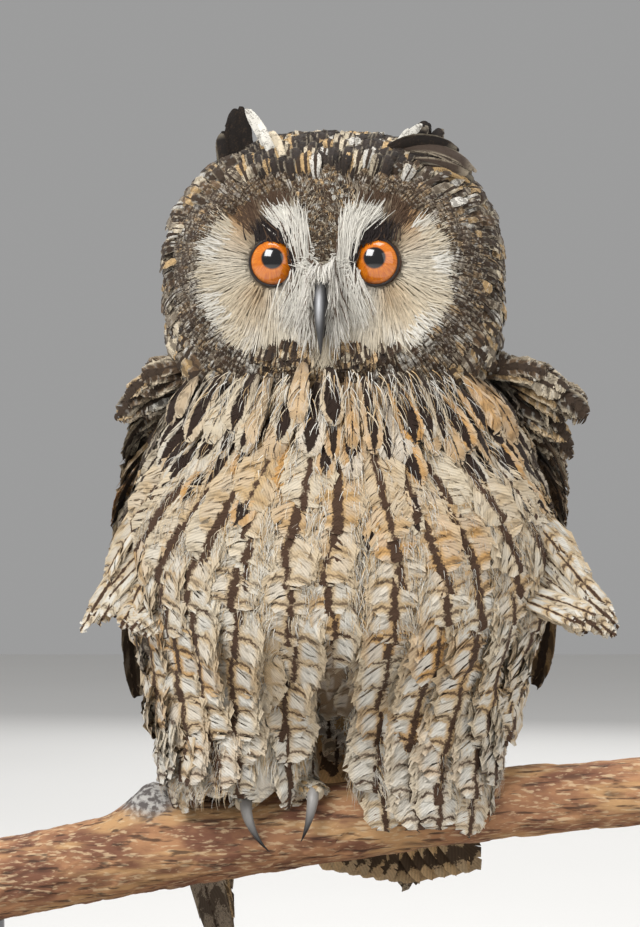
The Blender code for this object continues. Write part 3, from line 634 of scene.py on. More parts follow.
def build_flock(name: str, flock: Flock, kind: Cut, seed: int, variants: int = 4) -> Object:
    """Joins many feathers into one mesh with its maps and colours.

    Args:
        name: The piece's name.
        flock: The feathers.
        kind: How they are cut.
        seed: Varies them.
        variants: How many templates they share.

    Returns:
        The new object.
    """
    rng = np.random.default_rng(seed)
    count = len(flock.root)
    choice = rng.integers(0, variants, count)
    all_points, all_quads, all_uv, all_patch, all_tint, all_marks = [], [], [], [], [], []
    start = 0
    for number in range(variants):
        part = flock.kept(choice == number)
        size = len(part.root)
        if not size:
            continue
        template = Template.cut(kind, seed * 31 + number)
        points = part.laid(template)
        per = len(template.points)
        quads = template.quads[None] + (start + np.arange(size) * per)[:, None, None]
        start += size * per
        u, v = template.points[:, 0], np.clip(template.points[:, 1], 0, 1)
        uv = rows_of(u * 0.5 + 0.5, v)
        all_uv.append(np.broadcast_to(uv, (size, per, 2)).reshape(-1, 2))
        spot = part.patch[:, None, :] + (uv - 0.5)[None] * 2 * PATCH
        all_patch.append(spot.reshape(-1, 2))
        end = part.ground if part.ground_tip is None else part.ground_tip
        share = v[None, :, None]
        tint = part.ground[:, None, :] * (1 - share) + end[:, None, :] * share
        all_tint.append(tint.reshape(-1, 3))
        all_marks.append(np.repeat(part.marks, per, axis=0))
        all_points.append(points.reshape(-1, 3))
        all_quads.append(quads.reshape(-1, 4))
    return joined_mesh(
        name, np.concatenate(all_points), np.concatenate(all_quads),
        {"feather": np.concatenate(all_uv), "OFBake": np.concatenate(all_patch)},
        {"tint": np.concatenate(all_tint), "marks": np.concatenate(all_marks)},
    )


def store_colours(mesh: Mesh, label: str, rows: Array) -> None:
    """Stores a colour of three or four numbers at each point of a mesh."""
    if rows.shape[1] == 3:
        rows = np.column_stack([rows, np.ones(len(rows))])
    layer = mesh.attributes.new(label, "FLOAT_COLOR", "POINT")
    layer.data.foreach_set("color", rows.astype(np.float32).ravel())


def joined_mesh(
    name: str, points: Array, quads: Array, maps: dict[str, Array], colours: dict[str, Array],
) -> Object:
    """Makes one mesh of many small things from arrays.

    Args:
        name: The piece's name.
        points: Places of its points.
        quads: Numbers of the points of each face.
        maps: Places on each UV map, one row for each point.
        colours: Colours, one row for each point, of three or four numbers.

    Returns:
        The new object.
    """
    mesh = bpy.data.meshes.new(name)
    mesh.vertices.add(len(points))
    mesh.vertices.foreach_set("co", points.astype(np.float32).ravel())
    mesh.loops.add(quads.size)
    corner = quads.ravel().astype(np.int32)
    mesh.loops.foreach_set("vertex_index", corner)
    mesh.polygons.add(len(quads))
    mesh.polygons.foreach_set("loop_start", np.arange(0, quads.size, 4, dtype=np.int32))
    mesh.polygons.foreach_set("use_smooth", np.ones(len(quads), bool))
    mesh.update(calc_edges=True)
    for label, places in maps.items():
        layer = mesh.uv_layers.new(name=label)
        layer.data.foreach_set("uv", places[corner].astype(np.float32).ravel())
    for label, rows in colours.items():
        store_colours(mesh, label, rows)
    return add_object(name, mesh)


@dataclass(frozen=True)
class BodyPlan:
    """The owl's surfaces under its coat, as the solids have them."""

    trunk_rows: tuple = (
        (158, 48, 34, 2, 7), (180, 65, 49, 3, 4), (200, 72, 56, 2, 1), (222, 69, 60, 1, 0),
        (250, 60, 56, 0, 1), (262, 57.5, 52, -1, 2), (274, 56.5, 48.5, -1.5, 2),
        (300, 56, 46, -2, 2),
    )
    trunk_low: float = 157.0
    trunk_high: float = 310.0
    coat_rows: tuple = (
        (108, 58, 34, -3, 3), (118, 58, 35, -3, 3), (140, 60, 42, -3, 2), (152, 62, 47, -2, 2),
        (164, 66, 52, -1, 2), (176, 70, 57, 0, 1), (188, 73, 60, 0, 1), (200, 75, 62, 0, 1),
        (212, 75, 62.5, 0, 1), (224, 72, 62, 0, 1), (236, 67.5, 60.5, 0, 0.5),
        (250, 62.5, 59, 0, 0), (264, 60, 57, 0, -1), (280, 59, 50, 1, -2),
    )
    head_centre: tuple = (-2.0, 1.0, 300.0)
    head_yaw: float = math.radians(-5.0)
    head_half_width: float = 57.0
    head_front: float = 46.0
    head_back: float = 47.0
    head_up: float = 46.5
    head_down: float = 72.0
    head_squareness: float = 2.4
    eye_spread: float = 17.4
    eye_height: float = 2.9
    eye_radius: float = 9.2
    eye_opening: float = 7.8
    eye_stands_out: float = 0.8
    dish_depth: float = 6.0
    dish_half_width: float = 27.0
    dish_half_height: float = 34.0
    disc_up: float = 28.5
    disc_down: float = 37.5
    rim_rise: float = 2.5
    disc_half_width: float = 45.0
    disc_half_height: float = 35.0
    disc_height: float = 1.0
    feet_x: dict = both(-21.0, 31.0)
    perch_rows: tuple = (
        (-136, 85.0, 14.0), (-75, 97.0, 14.6), (-7, 107.6, 14.2), (50, 114.5, 12.8),
        (103, 119.0, 11.7), (136, 121.5, 11.4),
    )

    def trunk(self, angle: Array, height: Array, swell: Array | float = 0.0) -> Array:
        """Returns points of the body in mm.

        Angle 0 is the front, and a quarter turn is the viewer's right.
        """
        half_width, half_depth, x, y = smoothed(self.trunk_rows, height).T
        share = (height - self.trunk_low) / (self.trunk_high - self.trunk_low) * 2 - 1
        end = np.maximum(1 - share * share, 0) ** 0.25
        return rows_of(
            x + (half_width * end + swell) * np.sin(angle),
            y - (half_depth * end + swell) * np.cos(angle), height,
        )

    def coat(self, angle: Array, height: Array, swell: Array | float = 0.0) -> Array:
        """Returns points of the coat's outer surface in mm."""
        half_width, half_depth, x, y = smoothed(self.coat_rows, height).T
        return rows_of(
            x + (half_width + swell) * np.sin(angle), y - (half_depth + swell) * np.cos(angle),
            height,
        )

    def head_turn(self) -> Array:
        """Returns the rotation from the head's own axes."""
        return np.array(Matrix.Rotation(self.head_yaw, 3, "Z"))

    def from_head(self, points: Array) -> Array:
        """Carries points from the head's own axes to the model's, in mm."""
        return points @ self.head_turn().T + np.array(self.head_centre)

    def face_relief(self, x: Array, z: Array) -> Array:
        """Returns how far the face stands back: two dishes and a raised rim."""
        side = np.where(x < 0, -self.eye_spread, self.eye_spread)
        across = (x - side) / self.dish_half_width
        up = (z - self.eye_height) / self.dish_half_height
        dish = np.maximum(1 - across * across - up * up, 0)
        ridge = np.minimum(np.abs(x) / self.eye_spread, 1)
        rim = np.hypot(x / self.disc_half_width, (z - self.disc_height) / self.disc_half_height)
        raised = self.rim_rise * np.exp(-(((rim - 1) / 0.09) ** 2))
        return self.dish_depth * dish * (0.25 + 0.75 * ridge) - raised

    def head_surface(self, direction: Array) -> Array:
        """Returns the head's outer form in its own axes for unit directions, in mm."""
        x, y, z = direction.T
        half = rows_of(
            np.full(len(x), self.head_half_width),
            np.where(y < 0, self.head_front, self.head_back),
            np.where(z > 0, self.head_up, self.head_down),
        )
        reach = (np.abs(direction / half) ** self.head_squareness).sum(-1)
        point = direction * (reach ** (-1 / self.head_squareness))[:, None]
        back = self.face_relief(point[:, 0], point[:, 2]) * np.clip(-y / 0.5, 0, 1)
        point[:, 1] += np.where(y < 0, back, 0)
        return point

    def face_depth(self, x: Array, z: Array) -> Array:
        """Returns the depth of the face's surface in the head's own axes, in mm."""
        height = np.where(z > 0, self.head_up, self.head_down)
        power = self.head_squareness
        left = 1 - np.abs(x / self.head_half_width) ** power - np.abs(z / height) ** power
        left = np.maximum(left, 0.02)
        return -self.head_front * left ** (1 / power) + self.face_relief(x, z)

    def disc_ring(self, x: Array, z: Array) -> Array:
        """Returns how far out a place of the face lies: 1 at the disc's edge."""
        reach = np.where(z > self.disc_height, self.disc_up, self.disc_down)
        return np.hypot(x / self.disc_half_width, (z - self.disc_height) / reach)

    def eye_centre(self, side: float) -> Array:
        """Returns an eyeball's centre in the head's own axes, in mm."""
        x = side * self.eye_spread
        rest = math.sqrt(self.eye_radius**2 - self.eye_opening**2)
        depth = self.face_depth(np.array([x]), np.array([self.eye_height]))[0]
        return np.array([x, depth + rest - self.eye_stands_out, self.eye_height])

    def perch_at(self, x: Array) -> tuple[Array, Array]:
        """Returns the branch's centre height and radius in mm at places along it."""
        height, radius = smoothed(self.perch_rows, x).T
        return height, radius


PLAN = BodyPlan()


def picked(
    rng: np.random.Generator, colours: Sequence[Colour], odds: Sequence[float], count: int
) -> Array:
    """Draws one colour for each feather, with a little change in brightness.

    Args:
        rng: The source of chance.
        colours: Colours to choose from.
        odds: How likely each is.
        count: How many are wanted.

    Returns:
        One colour for each.
    """
    share = np.array(odds, float) / np.sum(odds)
    chosen = np.array(colours, float)[rng.choice(len(colours), count, p=share)]
    return np.clip(chosen * rng.normal(1.0, 0.12, (count, 1)), 0.005, 0.85)


def patch_of(turn: Array, height: Array) -> Array:
    """Returns places on the unwrapped skin for shares of a turn and of the height."""
    return rows_of(0.01 + 0.98 * (turn % 1.0), 0.01 + 0.98 * np.clip(height, 0, 1))


@dataclass
class Coat:
    """The feathers of breast, belly, flanks and back."""

    row_pitch: float = 6.6
    spacing: float = 6.4
    skin_depth: float = 5.0
    column_turn: float = 0.245
    columns: int = 6
    bar_pitch: float = 8.8
    feather_rows: float = 4.0
    legs: tuple = ((-36.0, 26.0), (30.0, 27.0))
    hem: tuple = (
        (-70, 124), (-50, 119), (-35, 121), (-33, 128), (-9, 128), (-7, 164), (0, 164),
        (2, 120), (14, 119), (22, 107), (42, 109), (52, 122), (70, 130),
    )
    flank_roots: tuple = ((234, 64), (224, 68), (214, 69), (205, 67), (197, 63), (190, 58))
    flank_tips: dict = both(
        ((-77, 203), (-83, 191), (-87, 177), (-79, 175), (-72, 178), (-66, 176)),
        ((74, 203), (83, 193), (91, 184), (98, 174), (92, 175), (84, 181)),
    )
    flank_depths: tuple = (-13, -17, -21, -25, -28, -31)
    barb_count: int = 13000
    wisp_count: int = 76
    rng: np.random.Generator = seeded(11)

    @staticmethod
    def patch(angle: Array, height: Array) -> Array:
        """Returns the unwrapped place of roots round the body."""
        return patch_of(angle / TAU + 0.5, (height - 110) / 200)

    def spread(self, height: Array) -> Array:
        """Returns how far the feathers' columns have fanned out at a height."""
        return 0.50 + 0.50 * ramp(-np.asarray(height), -256, -184)

    def hull(self, angle: Array, height: Array, lift: Array | float) -> Array:
        """Returns points of the coat's front, which parts into the two legs low down."""
        spot = PLAN.coat(angle, height, lift)
        x = spot[:, 0]
        centre, half = (np.where(x < -3.5, *pair) for pair in zip(*self.legs))
        round_leg = np.sqrt(np.clip(1 - ((x - centre) / (half + 2)) ** 2, 0.02, 1))
        share = ramp(-height, -182, -142) * (np.abs(angle) < math.radians(100))
        spot[:, 1] = spot[:, 1] * (1 - share) + (-3 - (25 + lift) * round_leg) * share
        return spot

    def scatter(
        self, low: float, high: float, widest: float, around: float, pitch: float = 0.0
    ) -> tuple[Array, Array]:
        """Sets out feather roots in staggered rows.

        Args:
            low: Lowest row in mm.
            high: Highest row in mm.
            widest: Largest angle from the middle in radians.
            around: The middle angle.
            pitch: Height between the rows, or 0 for the usual one.

        Returns:
            Angle and height of each root.
        """
        rng = self.rng
        angles, heights = [], []
        for number, height in enumerate(np.arange(low, high, pitch or self.row_pitch)):
            radius = 0.5 * (smoothed(PLAN.trunk_rows, [height])[0][:2].sum())
            count = max(int(2 * widest * radius / self.spacing), 2)
            row = np.linspace(-widest, widest, count) + (number % 2) * widest / count
            row += rng.normal(0, 0.22, count) * self.spacing / radius
            angles.append(row + around)
            heights.append(height + rng.normal(0, 1.6, count))
        return np.concatenate(angles), np.concatenate(heights)

    def flock(
        self, angle: Array, height: Array, length: Array, half_width: Array, ground: Array,
        marks: Array, loose: float = 0.7, fanned: bool = False,
    ) -> Flock:
        """Lays feathers from the skin to the coat's outer surface.

        Args:
            angle: Root's angle round the body.
            height: Root's height in mm.
            length: Length in mm.
            half_width: Half width in mm.
            ground: Ground colours.
            marks: Strengths of the markings.
            loose: How unevenly the tips lie, in mm.
            fanned: Whether they fan out downwards.

        Returns:
            The feathers.
        """
        rng = self.rng
        count = len(angle)
        root = PLAN.trunk(angle, np.clip(height, 160, 300), -self.skin_depth)
        root[:, 2] = height
        low = height < 168
        root[low] = self.hull(angle[low], height[low], -6.0)
        drop = height - length * rng.normal(0.96, 0.015, count)
        sway = rng.normal(0, 0.015 if fanned else 0.03, count)
        end = angle * self.spread(drop) / self.spread(height) if fanned else angle
        half_way = (angle + end) / 2
        tip = self.hull(end + sway, drop, rng.normal(0.4, loose, count))
        middle = self.hull(half_way + sway * 0.3, (height + drop) / 2, rng.normal(-1.4, 0.3, count))
        bow = through(root, middle, tip)
        out = rows_of(np.sin(angle), -np.cos(angle), 0.15)
        return Flock(
            root=root * MM, bow=bow * MM, tip=tip * MM, outward=unit(out),
            half_width=half_width * MM, ground=ground, marks=marks,
            patch=self.patch(angle, height),
            roll=rng.normal(0, 0.14, count),
        )

    def breast(self) -> Flock:
        """Cream and buff feathers of the upper breast with broad dark streaks."""
        rng = self.rng
        angle, height = self.scatter(228, 276, math.radians(80), 0, 8.0)
        height = height + rng.normal(0, 1.6, len(height))
        count = len(angle)
        patchy = np.sin(angle * 5.1 + 0.8 + height * 0.21) * np.cos(height * 0.33 + angle * 2.3)
        warm = 0.38 + 0.6 * patchy + 0.25 * np.sin(angle) + rng.normal(0, 0.15, count)
        warm = np.clip(warm, 0, 1)
        ground = mixed(CREAM, ORANGE_BUFF, warm)
        ground = mixed(ground, WHITE, (rng.random(count) > 0.5 + 0.5 * warm) * 0.6)
        edge_dark = ramp(np.abs(angle), math.radians(46), math.radians(72))
        ground = mixed(ground, GREY_BROWN, edge_dark * 0.4)
        bold = rng.random(count) > 0.08 + 0.40 * warm
        marks = rows_of(
            np.where(bold, rng.uniform(0.42, 0.85, count), rng.uniform(0.0, 0.12, count)),
            rng.uniform(0.0, 0.15, count) + 0.4 * edge_dark, rng.uniform(0.1, 0.8, count),
            rng.uniform(0.0, 0.3, count),
        )
        length = rng.normal(27, 2.5, count)
        half_width = rng.normal(3.7, 0.5, count)
        return self.flock(angle, height, length, half_width, ground, marks, fanned=True)

    def under_down(self) -> Flock:
        """Plain soft feathers that fill the gaps between the columns."""
        rng = self.rng
        angle, height = self.scatter(172, 250, math.radians(92), 0)
        count = len(angle)
        ground = mixed(BUFF, CREAM, rng.uniform(0.0, 1.0, count))
        marks = np.tile([0.0, 0.15, 0.5, 0.3], (count, 1))
        made = self.flock(
            angle, height, rng.normal(27, 2, count), rng.normal(5.2, 0.4, count), ground, marks
        )
        inward = 2.6 * MM * made.outward
        made.bow, made.tip = made.bow - inward, made.tip - inward
        # Painted shade: feathers deep in the gap between the legs are darkened towards mid brown.
        painted_gap_shade = ramp(-np.abs(angle), -0.2, -0.12) * ramp(-height, -200, -186)
        made.ground = mixed(made.ground, MID_BROWN, painted_gap_shade * 0.85)
        return made

    def belly(self) -> Flock:
        """Long feathers of the lower breast and belly in columns, barred like herringbone."""
        rng = self.rng
        angles, heights = [], []
        length = self.feather_rows * self.bar_pitch
        hem_x, hem_z = np.array(self.hem, float).T
        for column in range(-self.columns, self.columns + 1):
            turn = column * self.column_turn - 0.02 + rng.normal(0, 0.03)
            x = PLAN.coat(np.array([turn]), np.array([140.0]))[0, 0]
            lowest = np.interp(x, hem_x, hem_z) + length * 0.95 + rng.uniform(0, 5)
            rows = np.arange(lowest, 252, self.bar_pitch)
            sway = 0.02 * np.sin(rows * 0.08 + column * 1.7)
            angles.append(turn * self.spread(rows) + sway + rng.normal(0, 0.008, len(rows)))
            heights.append(rows + rng.normal(0, 0.4, len(rows)))
        angle, height = np.concatenate(angles), np.concatenate(heights)
        count = len(angle)
        low = ramp(-height, -244, -205)
        lowest = ramp(-height, -175, -155)
        patchy = np.sin(angle * 4.3 + height * 0.11) * np.cos(height * 0.09 + 1.0)
        ground = mixed(BUFF, CREAM, np.clip(rng.uniform(0.2, 0.9, count) + 0.4 * patchy, 0, 1))
        ground = mixed(ground, ORANGE_BUFF, np.clip(-patchy - 0.15, 0, 1) * 0.9)
        ground = mixed(ground, BUFF, np.clip(rng.normal(-0.1, 0.35, count), 0, 0.7))
        ground = mixed(ground, GREY_WHITE, lowest * 0.5)
        marks = rows_of(
            rng.uniform(0.08, 0.17, count) + (1 - low) * rng.uniform(0.0, 0.09, count),
            rng.uniform(0.8, 1.0, count) * (0.35 + 0.65 * low), rng.uniform(0.3, 0.7, count),
            rng.uniform(0.65, 1.0, count) * (0.3 + 0.7 * low),
        )
        wide = rng.normal(9.6, 0.4, count) * (0.45 + 0.55 * self.spread(height - length))
        return self.flock(
            angle, height, np.full(count, length), wide, ground, marks, loose=0.4, fanned=True
        )

    def barbs(self) -> Flock:
        """Single fine barbs that stand off the coat's front."""
        rng = self.rng
        count = self.barb_count
        height = np.where(
            rng.random(count) < 0.10, rng.uniform(225, 266, count), rng.uniform(122, 228, count)
        )
        column = rng.integers(-self.columns, self.columns + 1, count)
        turn = column * self.column_turn - 0.02
        side = rng.choice([-1.0, 1.0], count)
        angle = turn * self.spread(height) + side * rng.uniform(0.025, 0.11, count)
        x = PLAN.coat(angle, height)[:, 0]
        hem_x, hem_z = np.array(self.hem, float).T
        keep = height > np.interp(x, hem_x, hem_z) + 3
        angle, height, side = angle[keep], height[keep], side[keep]
        count = len(angle)
        length = rng.uniform(5, 9, count)
        reach = side * rng.uniform(-0.2, 1.0, count) * 0.055 + angle * 0.03
        root = self.hull(angle, height, rng.normal(-0.8, 0.4, count))
        tip = self.hull(angle + reach, height - length, rng.normal(1.2, 0.6, count))
        middle = self.hull(angle + reach * 0.7, height - length * 0.45, rng.normal(1.4, 0.5, count))
        upper = ramp(height, 225, 250)
        ground = picked(rng, (WHITE, CREAM, BUFF, GREY_WHITE), (3, 6, 2.5, 3), count)
        dark = rng.random(count) < 0.05 + 0.25 * upper
        ground = np.where(dark[:, None], np.array(DARK_BROWN), ground)
        out = rows_of(np.sin(angle), -np.cos(angle), 0.15)
        return Flock(
            root=root * MM, bow=through(root, middle, tip) * MM, tip=tip * MM,
            outward=unit(out), half_width=rng.uniform(0.10, 0.19, count) * MM, ground=ground,
            marks=np.zeros((count, 4)), patch=self.patch(angle, height),
        )

    def wisps(self, side_name: str) -> Flock:
        """Long feathers of one flank that stand off and droop outwards.

        Args:
            side_name: left or right.

        Returns:
            The feathers.
        """
        rng = self.rng
        side = SIDES[side_name]
        count = self.wisp_count
        spot = np.sort(rng.uniform(0, 5, count))
        low = np.clip(spot.astype(int), 0, 4)
        part = (spot - low)[:, None]
        roots, tips = np.array(self.flank_roots, float), np.array(self.flank_tips[side_name], float)
        depths = np.array(self.flank_depths, float)[:, None]
        root_row = roots[low] * (1 - part) + roots[low + 1] * part
        tip_row = tips[low] * (1 - part) + tips[low + 1] * part
        depth = (depths[low] * (1 - part) + depths[low + 1] * part)[:, 0]
        angle = np.radians(root_row[:, 1]) * side + rng.normal(0, 0.05, count)
        root = PLAN.trunk(angle, root_row[:, 0] + rng.normal(0, 2, count), -4.0)
        tip = rows_of(tip_row[:, 0], depth, tip_row[:, 1])
        reach = 1.0 - 0.42 * rng.random(count)[:, None] ** 1.6
        tip = root + (tip - root) * reach + rng.normal(0, 1.2, (count, 3))
        out = rows_of(np.sin(angle), -np.cos(angle), 0.1)
        bow = (root + tip) / 2 + out * rng.uniform(3, 6, count)[:, None]
        ground = mixed(BUFF, CREAM, rng.uniform(0.2, 1.0, count))
        marks = drawn(rng, count, (0.12, 0.2), (0.5, 0.9), (0.3, 0.8), (0.5, 1.0))
        facing = unit(np.array([0.35 * side, -1.0, 0.2]) + rng.normal(0, 0.2, (count, 3)))
        return Flock(
            root=root * MM, bow=bow * MM, tip=tip * MM, outward=facing,
            half_width=rng.normal(3.3, 0.4, count) * MM, ground=ground, marks=marks,
            patch=self.patch(angle, root[:, 2]),
            roll=rng.normal(0, 0.2, count),
        )

    def back(self) -> Flock:
        """Dark mottled feathers of the mantle and rump."""
        rng = self.rng
        angle, height = self.scatter(168, 270, math.radians(100), math.pi)
        count = len(angle)
        ground = picked(rng, (BUFF, GREY_BROWN, CREAM), (4, 4, 1), count)
        marks = drawn(rng, count, (0.2, 0.5), (0.6, 1.0), (0.0, 0.4), (0.0, 0.3))
        length = rng.normal(24, 2, count)
        made = self.flock(angle, height, length, rng.normal(5.6, 0.5, count), ground, marks)
        made.tip[:, 1] -= 1.5 * MM
        return made

    def build(self, loose: Material, streaked: Material, mantle: Material, down: Material) -> None:
        """Makes the pieces of the coat."""
        for name, flock, seed, finish in (
            ("breast_feathers", self.breast(), 21, streaked),
            ("under_feathers", self.under_down(), 25, loose),
            ("belly_feathers", self.belly(), 22, loose),
            ("flank_feathers_left", self.wisps("left"), 23, loose),
            ("flank_feathers_right", self.wisps("right"), 26, loose),
        ):
            place_piece(build_flock(name, flock, Cut.LOOSE, seed), finish)
        place_piece(build_flock("coat_barbs", self.barbs(), Cut.FILAMENT, 27, 1), down)
        piece = build_flock("back_feathers", self.back(), Cut.LOOSE, 24)
        place_piece(piece, mantle)


@dataclass
class Legs:
    """The feathers of the thighs and shanks, down to the toes."""

    hems: dict = both(119.0, 111.0)
    centres: dict = both(-35.5, 30.0)
    rows: tuple = ((110, 19, 17), (122, 22.5, 20), (138, 23.5, 22), (160, 25, 24), (200, 25, 24))
    columns: int = 9
    bar_pitch: float = 8.8
    rng: np.random.Generator = seeded(12)

    def flock(self, side_name: str) -> Flock:
        """Lays the feathers of one leg.

        Args:
            side_name: left or right.

        Returns:
            The feathers.
        """
        rng = self.rng
        angles, heights, fillers = [], [], []
        for column in range(2 * self.columns):
            filler = column % 2 == 1
            offset = rng.uniform(0, self.bar_pitch)
            rows = np.arange(self.hems[side_name] + 20 + offset, 192, self.bar_pitch)
            turn = column * math.pi / self.columns + rng.normal(0, 0.03, len(rows))
            angles.append(turn)
            heights.append(rows)
            fillers.append(np.full(len(rows), filler))
        angle, height, filler = (np.concatenate(part) for part in (angles, heights, fillers))
        count = len(angle)

        def surface(a: Array, z: Array, swell: Array | float) -> Array:
            """Returns points of the leg's surface in mm."""
            half_width, half_depth = smoothed(self.rows, z).T
            x = self.centres[side_name] + (half_width + swell) * np.sin(a)
            return rows_of(x, -4 - (half_depth + swell) * np.cos(a), z)

        length = 3.4 * self.bar_pitch - 6 * ramp(-height, -150, -125) + rng.normal(0, 1.0, count)
        over_foot = np.exp(-((np.sin(angle) / 0.55) ** 2)) * (np.cos(angle) > 0)
        low_row = ramp(-height, -150, -136)
        short = 13.0 if side_name == "left" else 4.0
        drop = height - length + over_foot * low_row * short
        root = surface(angle, height, -5.0)
        straggle = rng.normal(0, 0.06, count)
        tip = surface(angle + straggle, drop, rng.normal(2.6, 0.7, count))
        tip -= (filler * 2.0)[:, None] * rows_of(np.sin(angle), -np.cos(angle), 0 * angle)
        middle = surface(angle, (height + drop) / 2, rng.normal(1.0, 0.5, count) - filler * 2.0)
        bow = through(root, middle, tip)
        ground = mixed(BUFF, CREAM, rng.uniform(0.2, 1.1, count))
        ground = mixed(ground, WHITE, rng.uniform(-0.2, 0.7, count))
        low = ramp(-height, -150, -128)
        marks = rows_of(
            rng.uniform(0.14, 0.22, count) * (1 - 0.3 * low) * (1 - filler),
            rng.uniform(0.7, 1.0, count) * (1 - 0.4 * low) * (1 - 0.6 * filler),
            rng.uniform(0.3, 0.8, count), rng.uniform(0.6, 1.0, count),
        )
        out = rows_of(np.sin(angle), -np.cos(angle), 0.1)
        return Flock(
            root=root * MM, bow=bow * MM, tip=tip * MM, outward=unit(out),
            half_width=rng.normal(6.4, 0.5, count) * MM, ground=ground, marks=marks,
            patch=patch_of(angle / TAU, (height - 100) / 110), roll=rng.normal(0, 0.2, count),
        )

    def build(self, loose: Material) -> None:
        """Makes the feathers of both legs."""
        for seed, side_name in enumerate(SIDES, 31):
            piece = build_flock(f"leg_feathers_{side_name}", self.flock(side_name), Cut.LOOSE, seed)
            place_piece(piece, loose)


@dataclass
class Face:
    """The facial disc: its filaments, bristles, rim and the wedge of the forehead."""

    grey_cream: Colour = (0.60, 0.52, 0.39)
    tan: Colour = (0.50, 0.34, 0.18)
    rust: Colour = (0.46, 0.26, 0.11)
    soot: Colour = (0.022, 0.016, 0.015)
    umber: Colour = (0.085, 0.050, 0.030)
    filaments: int = 11000
    lash_count: int = 900
    wedge_count: int = 1700
    plume_count: int = 520
    ruff_count: int = 2850
    chin_count: int = 640
    rng: np.random.Generator = seeded(13)

    def colour_at(self, x: Array, z: Array) -> Array:
        """Returns the face's colour at places in the head's own axes, in mm."""
        ax = np.abs(x)
        found = np.broadcast_to(np.array(self.grey_cream), (len(x), 3)).copy()
        for spot in (
            (30, 20, 9, 7, self.rust, 0.95), (29, 10, 8, 5, self.tan, 0.55),
            (34, 4, 8, 9, WHITE, 0.40), (23, -9, 5, 6, self.tan, 0.85),
            (22, -8, 2.6, 3.2, self.umber, 0.45), (32, -16, 9, 9, CREAM, 0.55),
            (25, -27, 5, 4.5, WHITE, 0.95), (12, -12, 7, 10, WHITE, 0.75),
            (8, -21, 6, 5, WHITE, 0.55), (8, 6, 5, 14, WHITE, 0.75),
            (18, 25, 8, 3, self.umber, 0.95), (25, 20, 3.5, 5, self.umber, 0.85),
            (17, 14.2, 8.0, 4.6, self.soot, 1.0), (10, 10.5, 3.2, 4.5, self.soot, 0.95),
            (9.5, 2, 2.2, 6, self.soot, 0.7),
        ):
            px, pz, rx, rz, colour, strength = spot
            away = ((ax - px) / rx) ** 2 + ((z - pz) / rz) ** 2
            found = mixed(found, colour, strength * np.exp(-(away**1.6)))
        from_eye = np.hypot(ax - PLAN.eye_spread, z - PLAN.eye_height)
        found = mixed(found, self.soot, 0.7 * (1 - ramp(from_eye, 8.4, 9.4)))
        return mixed(found, self.umber, 0.75 * ramp(PLAN.disc_ring(x, z), 0.97, 1.05))

    def on_face(self, x: Array, z: Array, lift: Array | float) -> Array:
        """Returns points over the face in the model's axes in mm."""
        return PLAN.from_head(rows_of(x, PLAN.face_depth(x, z) - lift, z))

    def laid(
        self, x: Array, z: Array, dx: Array, dz: Array, lifts: Sequence, half_width: Array,
        ground: Array, marks: Array | None = None, ground_tip: Array | None = None,
        curl: Array | float = 0.0,
    ) -> Flock:
        """Lays feathers or filaments on the face.

        Args:
            x: Root's place across, in the head's own axes.
            z: Root's height there.
            dx: From root to tip, across.
            dz: From root to tip, up.
            lifts: Height over the skin of root, middle and tip.
            half_width: Half width in mm.
            ground: Colour at the root.
            marks: Strengths of the markings.
            ground_tip: Colour at the tip.
            curl: Sideways bend of the middle in mm.

        Returns:
            The feathers.
        """
        count = len(x)
        side_x, side_z = -dz, dx
        size = np.hypot(side_x, side_z) + 1e-6
        middle_x = x + dx / 2 + curl * side_x / size
        middle_z = z + dz / 2 + curl * side_z / size
        facing = np.array([0.0, -1.0, 0.0]) @ PLAN.head_turn().T
        return Flock(
            root=self.on_face(x, z, lifts[0]) * MM,
            bow=self.on_face(middle_x, middle_z, lifts[1]) * MM,
            tip=self.on_face(x + dx, z + dz, lifts[2]) * MM,
            outward=np.broadcast_to(facing, (count, 3)).copy(),
            half_width=np.broadcast_to(half_width, (count,)) * MM, ground=ground,
            marks=np.zeros((count, 4)) if marks is None else marks,
            patch=patch_of(x / 120 + 0.5, z / 100 + 0.5), ground_tip=ground_tip,
        )

    def disc(self) -> Flock:
        """The fine filaments that stand round each eye."""
        rng = self.rng
        count = self.filaments
        side = rng.choice([-1.0, 1.0], count)
        turn = rng.uniform(0, TAU, count)
        reach = 8.5 + 26.0 * rng.random(count) ** 0.8
        dx, dz = np.cos(turn), np.sin(turn)
        x = side * PLAN.eye_spread + dx * reach
        z = PLAN.eye_height + dz * reach
        rim = PLAN.disc_ring(x, z)
        wedge = np.clip(2.0 + (z - 3) * 0.29, 1.0, 11.0)
        keep = (rim < np.where(z > 0, 0.93, 0.95)) & (side * x > wedge) & (np.abs(x) < 46)
        x, z, dx, dz, reach = x[keep], z[keep], dx[keep], dz[keep], reach[keep]
        count = len(x)
        length = np.clip(3.5 + 0.30 * reach, 4, 11) * rng.normal(1, 0.15, count)
        droop = 0.25 * ramp(-z, 2, 20)
        dz = dz - droop
        dx, dz = dx + rng.normal(0, 0.07, count), dz + rng.normal(0, 0.07, count)
        ground = self.colour_at(x, z) * rng.normal(1, 0.10, (count, 1))
        ends = self.colour_at(x + dx * length, z + dz * length) * rng.normal(1.06, 0.12, (count, 1))
        lifts = drawn(rng, count, (0.0, 0.5), (0.8, 1.5), (0.7, 2.0)).T
        return self.laid(
            x, z, dx * length, dz * length, lifts, rng.uniform(0.16, 0.30, count),
            np.clip(ground, 0.01, 0.85), ground_tip=np.clip(ends, 0.01, 0.85),
            curl=rng.normal(0, 0.35, count),
        )

